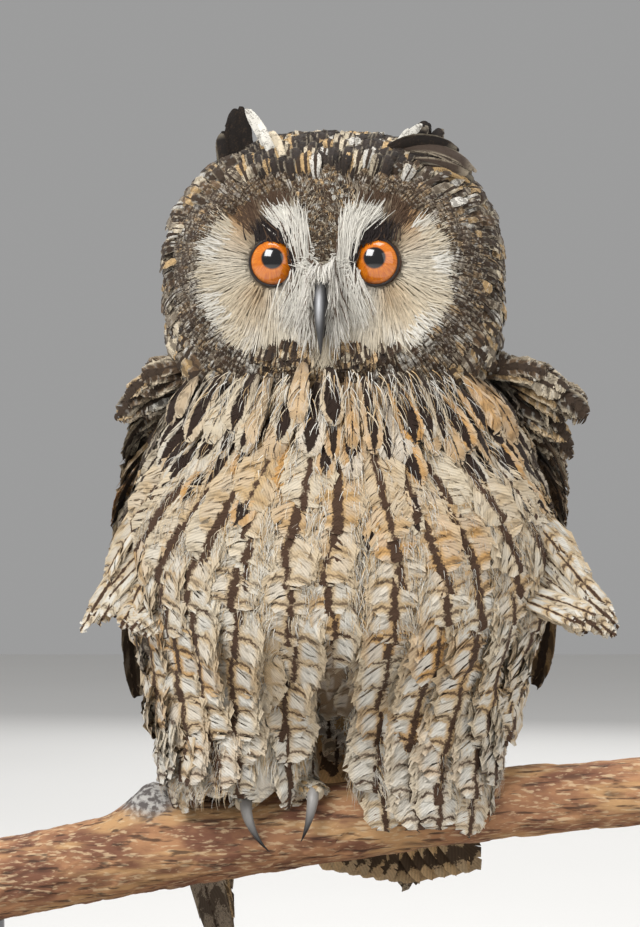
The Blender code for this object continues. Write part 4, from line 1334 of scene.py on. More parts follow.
    def bristles(self) -> Flock:
        """The white brows over the bill, the bristles beside it and dark bristles that paint the
        bill's shadow.
        """
        rng = self.rng
        rows = []
        for side in SIDES.values():
            for count, spot, spread, fan, lengths, stand, colour in (
                (190, (7.4, 4.0), (1.4, 1.8), (76, 92), (12, 17), (1.2, 3.4, 2.4), WHITE),
                (150, (9.2, 10.0), (1.5, 1.4), (58, 82), (9, 14), (1.4, 3.4, 2.6), WHITE),
                (120, (11.0, 13.5), (1.8, 1.0), (38, 62), (8, 12), (1.4, 3.2, 2.4), WHITE),
                (330, (6.5, -1.5), (2.4, 2.0), (-62, -98), (10, 19), (1.0, 3.6, 2.4), WHITE),
                (220, (4.2, -9.0), (1.2, 3.5), (-66, -100), (8, 15), (2.5, 7.5, 5.5), GREY_WHITE),
                (120, (4.0, 1.0), (1.5, 2.0), (-20, 60), (2.5, 4.0), (1.0, 2.6, 1.8), WHITE),
                # Dark bristles beside the bill: painted shadow of the bill.
                (60, (3.6, -6.0), (0.6, 4.0), (-76, -100), (6, 10), (2.0, 7.0, 6.0), self.umber),
                (90, (1.6, 0.5), (0.9, 0.8), (-70, -100), (4, 6), (4.0, 10.5, 13.0), GREY_WHITE),
                (120, (3.6, -3.0), (0.5, 2.0), (-74, -96), (7, 12), (4.0, 10.0, 10.0), GREY_WHITE),
                (330, (16.0, 10.6), (3.4, 1.1), (55, 110), (4.5, 8.5), (1.6, 2.4, 2.0), self.soot),
                (120, (10.0, 5.0), (0.5, 3.0), (66, 96), (4, 7), (1.2, 2.2, 1.8), self.soot),
                (190, (19.0, 23.0), (4.5, 1.2), (55, 105), (4, 7), (0.8, 1.8, 1.4), self.umber),
                (130, (24.5, 18.0), (1.3, 2.6), (30, 70), (5, 8), (0.8, 1.8, 1.4), self.umber),
            ):
                heading = np.radians(rng.uniform(min(fan), max(fan), count))
                length = rng.uniform(*lengths, count)
                rows.append(
                    rows_of(
                        side * np.abs(rng.normal(spot[0], spread[0], count)),
                        rng.normal(spot[1], spread[1], count),
                        side * np.cos(heading) * length,
                        np.sin(heading) * length,
                        *(rng.normal(s, 0.25 * s, count) for s in stand),
                        *(np.full(count, channel) for channel in colour),
                    )
                )
        table = np.concatenate(rows)
        x, z, dx, dz, low, middle, high = table[:, :7].T
        count = len(x)
        ground = table[:, 7:] * rng.uniform(0.8, 1.1, (count, 1))
        dark = (rng.random(count) > 0.93)[:, None]
        ground = np.where(dark, np.array(self.umber), ground)
        return self.laid(
            x, z, dx, dz, (low, middle, high), rng.uniform(0.17, 0.30, count), ground,
            ground_tip=np.clip(ground * 1.08, 0, 0.85), curl=rng.normal(0, 0.6, count),
        )

    def lashes(self) -> Flock:
        """The white filaments that flare out over the disc's edge."""
        rng = self.rng
        count = self.lash_count
        side = rng.choice([-1.0, 1.0], count)
        turn = rng.uniform(math.radians(-52), math.radians(38), count)
        ring = rng.uniform(0.80, 0.93, count)
        reach = np.where(turn > 0, PLAN.disc_up, PLAN.disc_down)
        x = side * PLAN.disc_half_width * ring * np.cos(turn)
        z = PLAN.disc_height + reach * ring * np.sin(turn)
        length = rng.uniform(5, 9, count)
        white = np.clip(0.55 + 0.6 * np.sin(turn * 9 + side) + rng.normal(0, 0.3, count), 0, 1)
        ground = mixed(self.grey_cream, WHITE, white)
        lifts = drawn(rng, count, (0.3, 1.0), (1.8, 3.0), (1.5, 3.2)).T
        heading = turn + rng.normal(0, 0.18, count)
        return self.laid(
            x, z, side * np.cos(heading) * length, np.sin(heading) * length, lifts,
            rng.uniform(0.2, 0.36, count), ground, ground_tip=np.clip(ground * 1.05, 0, 0.85),
            curl=rng.normal(0, 0.6, count),
        )

    def wedge(self) -> Flock:
        """Small mottled feathers between the two halves of the disc."""
        rng = self.rng
        count = self.wedge_count
        z = rng.uniform(1, 37, count)
        wide = np.clip(2.6 + (z - 3) * 0.30, 1.5, 12.0)
        x = rng.uniform(-1, 1, count) * wide
        length = rng.uniform(2.8, 4.6, count)
        kinds = (self.umber, GREY_WHITE, MID_BROWN, self.soot, GREY_BROWN, self.tan)
        ground = picked(rng, kinds, (5, 2.5, 5, 2, 4, 2), count)
        marks = rows_of(*drawn(rng, count, (0, 0.3), (0, 0.8), (0, 0.7)).T, 0.0)
        return self.laid(
            x, z, x * 0.12 + rng.normal(0, 0.6, count), length,
            (0.0, 1.1, rng.uniform(0.9, 1.9, count)), rng.uniform(0.55, 0.9, count), ground, marks,
        )

    def plumes(self) -> Flock:
        """The raised feathers of the crown over the forehead: black-brown with cream streaks."""
        rng = self.rng
        count = self.plume_count
        across = rng.uniform(-0.56, 0.56, count)
        rise = rng.uniform(math.radians(36), math.radians(86), count)
        order = np.argsort(-rise)
        across, rise = across[order], rise[order]
        length = rng.uniform(9, 13, count)

        def over(share: float, lift: Array | float) -> Array:
            """Returns points over the crown at a share of the feathers' length."""
            turn = rise + share * length / PLAN.head_front
            way = unit(rows_of(across * (1 + 0.1 * share), -np.cos(turn), np.sin(turn)))
            return PLAN.from_head(PLAN.head_surface(way) + way * np.reshape(lift, (-1, 1))) * MM

        patch = np.sin(across * 17 + 0.6) * np.cos(rise * 9 + 0.8) + rng.normal(0, 0.35, count)
        dark = patch > -0.15
        ground = np.where(
            dark[:, None], np.array(BLACK_BROWN) * rng.uniform(1.0, 2.4, (count, 1)),
            picked(rng, (BUFF, CREAM, GREY_WHITE), (3, 4, 1), count),
        )
        marks = rows_of(
            np.where(dark, 0.0, rng.uniform(0.1, 0.5, count)), rng.uniform(0.0, 0.3, count),
            np.where(dark, rng.uniform(0, 0.5, count), 0.2), 0.0,
        )
        lift = rng.uniform(2.0, 4.2, count)
        out = rows_of(across * 0.6, -np.cos(rise), np.sin(rise))
        out = unit(out + rng.normal(0, 0.1, (count, 3)))
        return Flock(
            root=over(0.0, np.zeros(count)), bow=over(0.5, lift + 1.8), tip=over(1.0, lift),
            outward=out, half_width=rng.uniform(1.3, 2.1, count) * MM, ground=ground, marks=marks,
            patch=patch_of(across + 0.5, rise / 2), roll=rng.normal(0, 0.2, count),
        )

    def rim(self) -> Flock:
        """The mottled ruff round the disc, and the chin."""
        rng = self.rng
        count = self.ruff_count
        turn = rng.uniform(0, TAU, count)
        ring = rng.uniform(0.93, 1.22, count)
        reach = np.where(np.cos(turn) > 0, PLAN.disc_up, PLAN.disc_down)
        x = PLAN.disc_half_width * ring * np.sin(turn)
        z = PLAN.disc_height + reach * ring * np.cos(turn)
        ax = np.abs(x)
        on_wedge = (ax < 10) & (z > 0) & (z < 32)
        on_chin = (ax < 5) & (z < 0) & (z > -36)
        keep = (ax < 53) & ~on_wedge & ~on_chin
        turn, ring, x, z = turn[keep], ring[keep], x[keep], z[keep]
        count = len(x)
        length = rng.uniform(3.5, 6.5, count)
        top = ramp(np.cos(turn), 0.2, 0.8)
        kinds = (self.umber, GREY_WHITE, self.tan, self.soot, GREY_BROWN)
        ground = picked(rng, kinds, (3, 1.6, 3, 1.2, 6), count)
        line = np.exp(-(((ring - 1.02) / 0.05) ** 2)) * (1 - 0.7 * top)
        ground = mixed(ground, self.umber, line * 0.85)
        inner = ramp(-ring, -1.0, -0.95) * ramp(-np.cos(turn), -0.3, 0.5)
        ground = mixed(ground, WHITE, inner * (rng.random(count) > 0.35) * 0.8)
        ground = mixed(ground, MID_BROWN, top * 0.45)
        marks = drawn(rng, count, (0, 0.35), (0.2, 1.0), (0, 0.8), (0, 0.5))
        dx, dz = np.sin(turn) * length, np.cos(turn) * length - 1.2
        lift = rng.uniform(0.6, 2.4, count) + 1.2 * (1 - top)
        return self.laid(
            x, z, dx, dz, (0.0, lift + 0.5, lift), rng.uniform(0.7, 1.25, count), ground, marks
        )

    def chin(self) -> Flock:
        """Short feathers under the bill."""
        rng = self.rng
        count = self.chin_count
        x, z = rng.uniform(-24, 24, count), rng.uniform(-38, -22, count)
        keep = z < -22 - 3.0 * ramp(np.abs(x), 2, 20) + rng.normal(0, 1.5, count)
        keep &= (np.abs(x) > 4.0) | (z < -31)
        x, z = x[keep], z[keep]
        count = len(x)
        middle = 1 - ramp(np.abs(x), 2, 7)
        ground = picked(rng, (self.umber, CREAM, self.tan, self.soot), (4, 3, 3, 2), count)
        ground = mixed(ground, BUFF, middle * 0.6)
        marks = rows_of(*drawn(rng, count, (0.1, 0.5), (0, 0.7), (0, 0.8)).T, 0.0)
        return self.laid(
            x, z, x * 0.08, -rng.uniform(5, 8, count), (0.0, 2.4, rng.uniform(1.6, 3.2, count)),
            rng.uniform(1.0, 1.7, count), ground, marks,
        )

    def build(self, down: Material, fine: Material) -> None:
        """Makes the pieces of the face."""
        for name, flock, seed in (
            ("disc_filaments", self.disc(), 41), ("face_bristles", self.bristles(), 42),
            ("disc_lashes", self.lashes(), 46),
        ):
            place_piece(build_flock(name, flock, Cut.FILAMENT, seed, 1), down)
        for name, flock, seed in (
            ("forehead_feathers", self.wedge(), 43), ("ruff_feathers", self.rim(), 44),
            ("chin_feathers", self.chin(), 45),
        ):
            place_piece(build_flock(name, flock, Cut.SMALL, seed), fine)
        place_piece(build_flock("crown_plumes", self.plumes(), Cut.LOOSE, 47), fine)


@dataclass
class Hood:
    """The feathers of crown, nape and the sides of the head."""

    count: int = 4200
    rng: np.random.Generator = seeded(14)

    def flock(self) -> Flock:
        """Lays the feathers away from the face and down."""
        rng = self.rng
        number = np.arange(self.count) + 0.5
        z = 1 - 2 * number / self.count
        turn = number * math.pi * (3 - math.sqrt(5))
        flat = np.sqrt(1 - z * z)
        way = rows_of(flat * np.cos(turn), flat * np.sin(turn), z)
        way = unit(way + rng.normal(0, 0.02, (self.count, 3)))
        spot = PLAN.head_surface(way)
        rim = PLAN.disc_ring(spot[:, 0], spot[:, 2])
        keep = ((spot[:, 1] > 0) | (rim > 1.12)) & (spot[:, 2] > -40)
        keep &= (spot[:, 2] < 31) | (spot[:, 1] > -3) | (np.abs(spot[:, 0]) > 24)
        way, spot = way[keep], spot[keep]
        count = len(way)
        eps = 0.02
        away = rows_of(way[:, 0], 0.0, way[:, 2])
        down = ramp(way[:, 1], -0.35, 0.45) * 1.5 + 0.75 * ramp(-way[:, 2], -0.5, 0.35)
        spread = ramp(-way[:, 1], -0.2, 0.6)[:, None]
        lie = np.array([0.0, 1.0, 0.0]) * 0.9 + unit(away) * 0.55 * spread
        lie = lie + np.array([0.0, 0.0, -1.0]) * down[:, None] + rng.normal(0, 0.16, (count, 3))
        step = unit(way + eps * unit(lie))
        ahead = unit(PLAN.head_surface(step) - spot)
        other = PLAN.head_surface(unit(way + eps * np.cross(way, ahead)))
        out = unit(np.cross(other - spot, ahead))
        out *= np.sign((out * way).sum(-1, keepdims=True))
        length = rng.normal(11.0, 1.2, count)
        lift = rng.normal(0.16, 0.05, count)
        root = spot - out * 2.0
        tip = spot + ahead * length[:, None] + out * (length * lift)[:, None]
        tip_way = unit(tip)
        surface = PLAN.head_surface(tip_way)
        below = np.linalg.norm(tip, axis=-1) - np.linalg.norm(surface, axis=-1)
        tip += tip_way * np.maximum(1.5 - below, 0)[:, None]
        tip -= tip_way * np.maximum(below - 4.0, 0)[:, None]
        bow = spot + ahead * (length * 0.5)[:, None] + out * (1.2 + length * lift * 0.9)[:, None]
        turn_matrix = PLAN.head_turn().T
        x, y, z = spot.T
        blotch = np.sin(z * 0.42 + x * 0.16) * np.cos(y * 0.34 + z * 0.12)
        blotch = blotch + rng.normal(0, 0.55, count)
        pale = picked(rng, (BUFF, GREY_BROWN, CREAM, GREY_WHITE), (3, 5, 2, 1.5), count)
        deep = picked(rng, (MID_BROWN, DARK_BROWN, GREY_BROWN), (4, 4, 2), count)
        ground = np.where((blotch > 0.1)[:, None], deep, pale)
        marks = rows_of(
            np.where(rng.random(count) > 0.5, rng.uniform(0.1, 0.5, count), 0),
            rng.uniform(0.2, 1.0, count), rng.uniform(0.0, 0.7, count),
            rng.uniform(0.0, 0.4, count),
        )
        brink = 1 - ramp(rim[keep], 1.15, 1.32)
        cheek = ramp(-z, 8, 20) * ramp(np.abs(x), 25, 40)
        crown = ramp(z, 33, 38) * (1 - ramp(y, 5, 35))
        patch = np.sin(x * 0.36 + 0.6) * np.cos(y * 0.28 + 0.4) + rng.normal(0, 0.3, count)
        dark = (patch > -0.25) & (crown > 0.4)
        light = (patch <= -0.25) & (crown > 0.4)
        black = np.array(BLACK_BROWN) * rng.uniform(1.0, 2.6, (count, 1))
        ground = np.where(dark[:, None], black, ground)
        ground = np.where(light[:, None], mixed(BUFF, CREAM, rng.random(count)), ground)
        marks[:, 0] = np.where(light, rng.uniform(0.1, 0.4, count), marks[:, 0])
        marks[:, 2] = np.where(dark, rng.uniform(0, 0.3, count), marks[:, 2])
        marks[:, 3] *= 1 - crown
        wide = rng.normal(1.9, 0.25, count) - 0.6 * brink + 0.6 * crown * (1 - brink) + 1.5 * cheek
        return Flock(
            root=PLAN.from_head(root) * MM, bow=PLAN.from_head(bow) * MM,
            tip=PLAN.from_head(tip) * MM, outward=out @ turn_matrix,
            half_width=wide * MM, ground=ground, marks=marks,
            patch=patch_of(np.arctan2(way[:, 0], -way[:, 1]) / TAU + 0.5, way[:, 2] * 0.5 + 0.5),
            roll=rng.normal(0, 0.12, count),
        )

    def build(self, fine: Material) -> None:
        """Makes the piece."""
        place_piece(build_flock("hood_feathers", self.flock(), Cut.SMALL, 51), fine)


@dataclass
class EarTufts:
    """The two ear tufts: black with a white inner edge, the right one blown over."""

    feathers: dict = both(
        (
            ((-33, -12, 333), (-38, -11, 344), (-36, -7, 357), 4.8, "black"),
            ((-30, -12, 333), (-34, -11, 345), (-34, -7, 358), 4.6, "black"),
            ((-37, -11, 332), (-41, -10, 340), (-40, -7, 350), 4.2, "black"),
            ((-21, -25, 332), (-25, -22, 347), (-32, -13, 357), 3.0, "white"),
            ((-20, -29, 330), (-23, -26, 343), (-29, -16, 353), 2.6, "white"),
            ((-19, -36, 331), (-19, -33, 342), (-24, -22, 349), 1.9, "cream"),
            ((-30, -18, 331), (-34, -17, 334), (-40, -13, 339), 2.6, "buff"),
            ((-37, -15, 329), (-41, -14, 333), (-44, -12, 337), 1.8, "brown"),
        ),
        (
            ((25, -12, 337), (27, -12, 346), (30, -8, 353), 4.6, "black"),
            ((28, -11, 336), (33, -11, 345), (35, -7, 350), 4.2, "black"),
            ((19, -24, 336), (21, -21, 347), (28, -13, 352), 2.4, "white"),
            ((18, -27, 335), (19, -24, 344), (24, -15, 350), 2.0, "white"),
            ((14, -27, 339), (30, -29, 348), (46, -19, 335), 3.9, "brown"),
            ((14, -28, 336), (30, -30, 344), (46, -20, 333), 3.9, "black"),
            ((13, -28, 334), (27, -31, 340), (42, -22, 333), 3.6, "brown"),
            ((14, -28, 341), (26, -29, 349), (40, -21, 341), 3.4, "black"),
            ((24, -28, 333), (34, -29, 338), (44, -21, 331), 1.8, "buff"),
        ),
    )
    copies: int = 5
    rng: np.random.Generator = seeded(15)

    def flock(self, side_name: str) -> Flock:
        """Lays one tuft's feathers, each a few times with small changes."""
        rng = self.rng
        rows = [row for row in self.feathers[side_name] for _ in range(self.copies)]
        count = len(rows)
        loose = np.array([0.45 if r[4] in ("white", "cream") else 1.0 for r in rows])[:, None]
        root = np.array([r[0] for r in rows], float) + rng.normal(0, 1.0, (count, 3)) * loose
        bow = np.array([r[1] for r in rows], float) + rng.normal(0, 0.9, (count, 3)) * loose
        tip = np.array([r[2] for r in rows], float) + rng.normal(0, 1.0, (count, 3)) * loose
        tip[:, 2] = np.minimum(tip[:, 2], 359)
        colours = {
            "black": BLACK_BROWN, "white": WHITE, "buff": BUFF, "cream": CREAM,
            "brown": (0.07, 0.05, 0.038),
        }
        ground = np.array([colours[r[4]] for r in rows]) * rng.normal(1, 0.1, (count, 1))
        marks = np.zeros((count, 4))
        marks[:, 2] = [
            0.25 if r[4] == "black" and rng.random() > 0.6 else 0.45 * (r[4] == "brown")
            for r in rows
        ]
        facing = np.tile([0.0, -1.0, 0.15], (count, 1))
        return Flock(
            root=root * MM, bow=bow * MM, tip=tip * MM,
            outward=unit(facing + rng.normal(0, 0.35, (count, 3)) * loose),
            half_width=np.array([r[3] for r in rows]) * 0.62 * MM, ground=ground, marks=marks,
            patch=patch_of(root[:, 0] / 100 + 0.5, (root[:, 2] - 320) / 40),
        )

    def build(self, fine: Material) -> None:
        """Makes both tufts."""
        for seed, side_name in enumerate(SIDES, 61):
            flock = self.flock(side_name)
            piece = build_flock(f"tuft_feathers_{side_name}", flock, Cut.STIFF, seed)
            place_piece(piece, fine, [f"ear_tuft_{side_name}"])


@dataclass
class Wings:
    """The folded wings, tier by tier over the surface that the solids have."""

    edges: dict = both(
        (
            ((-50, -12, 264), (-78, -15, 232), (-73, 11, 160), (-71, 44, 100), (-46, 80, 44)),
            ((-30, 50, 262), (-46, 66, 215), (-36, 66, 150), (-34, 76, 100), (-34, 82, 48)),
        ),
        (
            ((50, -12, 264), (80, -16, 232), (77, 13, 150), (64, 50, 110), (30, 88, 76)),
            ((30, 50, 262), (46, 66, 215), (38, 68, 160), (26, 80, 118), (18, 90, 82)),
        ),
    )
    bulge: float = 7.0
    shoulder: dict = both(
        (
            (-64, -12, 264), (-74, -12, 260), (-78, -8, 252), (-73, -2, 243), (-75, 4, 233),
            (-77, 10, 222),
        ),
        (
            (66, -10, 265), (79, -10, 261), (88, -5, 249), (82, 1, 239), (80, 8, 228),
            (80, 14, 214),
        ),
    )
    tiers: tuple = (
        ("primaries", 10, (0.38, 0.3), (0.34, -0.8), (0.80, 0.75), (1.0, -0.2), (2.6, -5.4), 7.5),
        ("secondaries", 11, (0.30, 0.9), (0.37, 0.3), (0.60, 1.0), (0.78, 0.8), (7.6, 4.2), 8.0),
        (
            "greater_coverts", 14, (0.24, 0.85), (0.26, -0.78), (0.48, 0.95), (0.55, -0.74),
            (8.9, 7.0), 6.2,
        ),
        (
            "median_coverts", 13, (0.17, 0.85), (0.18, -0.8), (0.38, 0.95), (0.43, -0.76),
            (9.6, 8.0), 5.8,
        ),
    )
    quill_brown: Colour = (0.20, 0.15, 0.10)
    shoulder_count: int = 70
    covert_rows: tuple = (0.02, 0.06, 0.10, 0.14, 0.18, 0.22, 0.26)
    covert_count: int = 15
    rng: np.random.Generator = seeded(16)

    def surface(self, side_name: str, along: Array, over: Array) -> tuple[Array, Array]:
        """Returns points of a wing's outer surface in mm and the directions that face out."""
        lead, trail = self.edges[side_name]
        front, back = bezier(lead, along), bezier(trail, along)
        across = (back - front) / 2
        outward = unit(np.cross(across, course(lead, along))) * -SIDES[side_name]
        rise = self.bulge * (1 - along) * (1 - over * over)
        return (front + back) / 2 + across * over[:, None] + outward * rise[:, None], outward

    def between(
        self, side_name: str, roots: Array, tips: Array, level: Array, half_width: Array,
        ground: Array, marks: Array,
    ) -> Flock:
        """Lays feathers between places of the wing's surface.

        Args:
            side_name: left or right.
            roots: Place along and across for each root.
            tips: Place along and across for each tip.
            level: Height over the surface in mm at the tip.
            half_width: Half width in mm.
            ground: Ground colours.
            marks: Strengths of the markings.

        Returns:
            The feathers.
        """
        spots = []
        for share, lift in ((0.0, 0.35), (0.5, 0.85), (1.0, 1.0)):
            place = roots * (1 - share) + tips * share
            point, outward = self.surface(side_name, place[:, 0], place[:, 1])
            spots.append((point + outward * (level * lift)[:, None], outward))
        (root, _), (middle, outward), (tip, _) = spots
        return Flock(
            root=root * MM, bow=through(root, middle, tip) * MM, tip=tip * MM,
            outward=outward, half_width=half_width * MM, ground=ground, marks=marks,
            patch=patch_of(roots[:, 1] * 0.4 + 0.5, roots[:, 0]),
            roll=np.full(len(roots), SIDES[side_name] * math.radians(4)),
        )

    def long_tier(self, side_name: str, row: tuple) -> Flock:
        """Lays one tier of the wing's long feathers."""
        rng = self.rng
        _, count, first_root, last_root, first_tip, last_tip, levels, half_width = row
        share = np.linspace(0, 1, count)[:, None]
        roots = np.array(first_root) * (1 - share) + np.array(last_root) * share
        tips = np.array(first_tip) * (1 - share) + np.array(last_tip) * share
        tips = tips + rng.normal(0, 0.006, (count, 2))
        level = np.linspace(*levels, count)
        long = row[0] in ("primaries", "secondaries")
        buff, streak = (2, (0.0, 0.1)) if long else (4, (0.2, 0.4))
        ground = picked(rng, (self.quill_brown, BUFF, GREY_BROWN), (5, buff, 3), count)
        marks = drawn(rng, count, streak, (0.75, 0.95), (0.3, 0.7), (0.0, 0.25))
        return self.between(
            side_name, roots, tips, level, np.full(count, half_width * 1.05), ground, marks
        )

    def coverts(self, side_name: str) -> Flock:
        """Lays the small feathers of the wing's upper part."""
        rng = self.rng
        rows = []
        for number, along in enumerate(self.covert_rows):
            over = np.linspace(-0.92, 0.92, self.covert_count) + (number % 2) * 0.06
            rows.append(rows_of(along, over))
        roots = np.concatenate(rows)
        count = len(roots)
        roots = roots + rng.normal(0, 0.008, (count, 2))
        tips = roots + np.array([0.135, 0.0]) + rng.normal(0, 0.012, (count, 2))
        tips[:, 1] = np.clip(tips[:, 1], -0.99, 0.99)
        level = 12.2 - 8.0 * roots[:, 0] + rng.normal(0, 0.5, count)
        kinds = (BUFF, GREY_BROWN, MID_BROWN, ORANGE_BUFF, CREAM)
        ground = picked(rng, kinds, (3, 3, 4, 2, 1.5), count)
        marks = drawn(rng, count, (0.15, 0.5), (0.2, 0.9), (0.1, 0.9), (0.0, 0.7))
        wide = rng.normal(5.2, 0.4, count)
        return self.between(side_name, roots, tips, level, wide, ground, marks)

    def shoulders(self, side_name: str) -> Flock:
        """Lays the shoulder feathers that stand off the wing, with white outer webs."""
        rng = self.rng
        ends = np.array(self.shoulder[side_name], float)
        count, side = self.shoulder_count, SIDES[side_name]
        share = np.sort(rng.uniform(0, 1, count))
        spot = share * (len(ends) - 1)
        low = np.clip(spot.astype(int), 0, len(ends) - 2)
        part = (spot - low)[:, None]
        tip = ends[low] * (1 - part) + ends[low + 1] * part
        inset = rng.uniform(0, 11, count)[:, None]
        tip = tip + inset * np.array([-side, -0.3, 0.5]) + rng.normal(0, 1.3, (count, 3))
        root = tip + np.array([-side * 17, 1, 7]) + rng.normal(0, 1.6, (count, 3))
        root[:, 2] = np.minimum(root[:, 2], 266 + rng.normal(0, 1.0, count))
        bow = (root + tip) / 2 + np.array([side * 2.0, -2.5, 3.0])
        ground = picked(rng, (CREAM, BUFF, WHITE, DARK_BROWN, MID_BROWN), (1.5, 3, 1, 6, 4), count)
        marks = drawn(rng, count, (0.2, 0.6), (0.2, 0.8), (0.3, 1.0), (0.1, 0.5))
        return Flock(
            root=root * MM, bow=bow * MM, tip=tip * MM,
            outward=unit(np.array([side * 0.55, -0.8, 0.35]) + rng.normal(0, 0.12, (count, 3))),
            half_width=rng.normal(3.9, 0.4, count) * MM, ground=ground, marks=marks,
            patch=patch_of(share * 0.3 + 0.3, 0.1 + 0.1 * share),
        )

    def build(self, stiff: Material, mottled: Material) -> None:
        """Makes the wings' pieces."""
        for seed, side_name in enumerate(SIDES, 70):
            for number, row in enumerate(self.tiers):
                long = number < 2
                flock = self.long_tier(side_name, row)
                piece = build_flock(f"{row[0]}_{side_name}", flock, Cut.STIFF, seed * 7 + number)
                nodes = [f"wing_{side_name}"] if number == 0 else []
                place_piece(piece, stiff if long else mottled, nodes)
            for name, flock, number in (
                (f"lesser_coverts_{side_name}", self.coverts(side_name), seed),
                (f"shoulder_{side_name}", self.shoulders(side_name), seed + 9),
            ):
                piece = build_flock(name, flock, Cut.LOOSE, number)
                place_piece(piece, mottled)


@dataclass
class Tail:
    """Six pairs of tail feathers with the coverts over and under them."""

    line: tuple = ((3, 34, 186), (12, 44, 132), (25, 58, 80))
    root_half_width: float = 13.0
    tip_half_width: float = 27.0
    pairs: int = 6
    coverts: int = 34
    step: float = 0.9
    rng: np.random.Generator = seeded(17)

    def place(self, along: Array, over: Array, level: Array) -> tuple[Array, Array]:
        """Returns points of the tail in mm and the directions that face back."""
        points = np.array(self.line, float)
        outward = unit(np.cross(np.array([1.0, 0, 0]), course(points, along)))
        half = self.root_half_width + (self.tip_half_width - self.root_half_width) * along
        spot = bezier(points, along) + rows_of(half * over, 0 * over, 0 * over)
        return spot + outward * np.asarray(level)[:, None], outward

    def laid(
        self, roots: Array, tips: Array, level: Array, half_width: Array, ground: Array,
        marks: Array,
    ) -> Flock:
        """Lays feathers between places along and across the tail.

        Args:
            roots: Place along and across of each root.
            tips: Place along and across of each tip.
            level: Height over the tail's middle in mm.
            half_width: Half width in mm.
            ground: Ground colours.
            marks: Strengths of the markings.

        Returns:
            The feathers.
        """
        middle, outward = self.place(*((roots + tips) / 2).T, level)
        root, _ = self.place(*roots.T, level)
        tip, _ = self.place(*tips.T, level)
        return Flock(
            root=root * MM, bow=through(root, middle, tip) * MM, tip=tip * MM,
            outward=outward, half_width=half_width * MM, ground=ground, marks=marks,
            patch=patch_of(roots[:, 1] * 0.4 + 0.5, roots[:, 0]),
        )

    def build(self, broad: Material, mottled: Material) -> None:
        """Makes the tail's pieces."""
        rng = self.rng
        rows = []
        for pair in range(self.pairs):
            for side in SIDES.values():
                over = side * (pair + 0.5) / (self.pairs - 0.5)
                rank = pair + (1 if pair or side > 0 else 0)
                rows.append((0.16, over * 0.6, 1.0 - 0.012 * pair, over, -rank * self.step))
        table = np.array(rows)
        count = len(table)
        ground = picked(rng, (BUFF, (0.50, 0.36, 0.20)), (2, 3), count)
        marks = np.tile([0.0, 0.95, 0.25, 0.0], (count, 1))
        roots, tips, levels = table[:, 0:2], table[:, 2:4], table[:, 4]
        flock = self.laid(roots, tips, levels, np.full(count, 8.8), ground, marks)
        piece = build_flock("tail_feathers", flock, Cut.STIFF, 91)
        place_piece(piece, broad, ["tail"])
        size = self.coverts
        for name, seed, level, ground_colours, dark in (
            ("tail_coverts_upper", 127, 1.6, (GREY_BROWN, BUFF, MID_BROWN), (0.3, 0.6)),
            ("tail_coverts_lower", 119, -7.2, (CREAM, WHITE, BUFF), (0.05, 0.12)),
        ):
            over = rng.uniform(-0.95, 0.95, size)
            start = rng.uniform(0.0, 0.42, size)
            roots = rows_of(start, over * 0.8)
            tips = rows_of(start + 0.24, over)
            levels = level + np.sign(level) * (0.6 - start) * 3 + rng.normal(0, 0.3, size)
            ground = picked(rng, ground_colours, (1, 1, 1), size)
            marks = rows_of(*drawn(rng, size, dark, (0.2, 0.7), (0, 0.6)).T, 0.0)
            flock = self.laid(roots, tips, levels, rng.normal(6.0, 0.5, size), ground, marks)
            if level < 0:
                flock.outward = -flock.outward
            piece = build_flock(name, flock, Cut.LOOSE, seed)
            place_piece(piece, mottled)


def bent_form(
    name: str, line: Sequence[Array], half_width: Callable[[Array], Array],
    half_depth: Callable[[Array], Array], across: Array, segments: int = 28, rings: int = 36,
) -> Object:
    """Makes a smooth closed form along a curve, such as a claw or a bill.

    Args:
        name: The piece's name.
        line: Control points in metres, from root to tip.
        half_width: Gives the half width at shares of the length.
        half_depth: Gives the half depth there.
        across: Direction of the width.
        segments: Faces round.
        rings: Faces along.

    Returns:
        The new object.
    """
    bm = bmesh.new()
    bmesh.ops.create_uvsphere(bm, u_segments=segments, v_segments=rings, radius=1.0)
    units = np.array([v.co for v in bm.verts])
    t = (units[:, 2] + 1) / 2
    middle = bezier(line, t)
    ahead = unit(course(line, t))
    sideways = unit(across - ahead * (ahead @ across)[:, None])
    thick = np.cross(sideways, ahead)
    flat = np.hypot(units[:, 0], units[:, 1])
    share = np.where(flat > 1e-4, np.maximum(flat, 1e-4) ** -0.5, 0)
    points = (
        middle + sideways * (units[:, 0] * share * half_width(t))[:, None]
        + thick * (units[:, 1] * share * half_depth(t))[:, None]
    )
    for vert, point in zip(bm.verts, points):
        vert.co = point
    bmesh.ops.recalc_face_normals(bm, faces=bm.faces)
    if bm.calc_volume(signed=True) < 0:
        bmesh.ops.reverse_faces(bm, faces=bm.faces)
    return from_bmesh(name, bm)


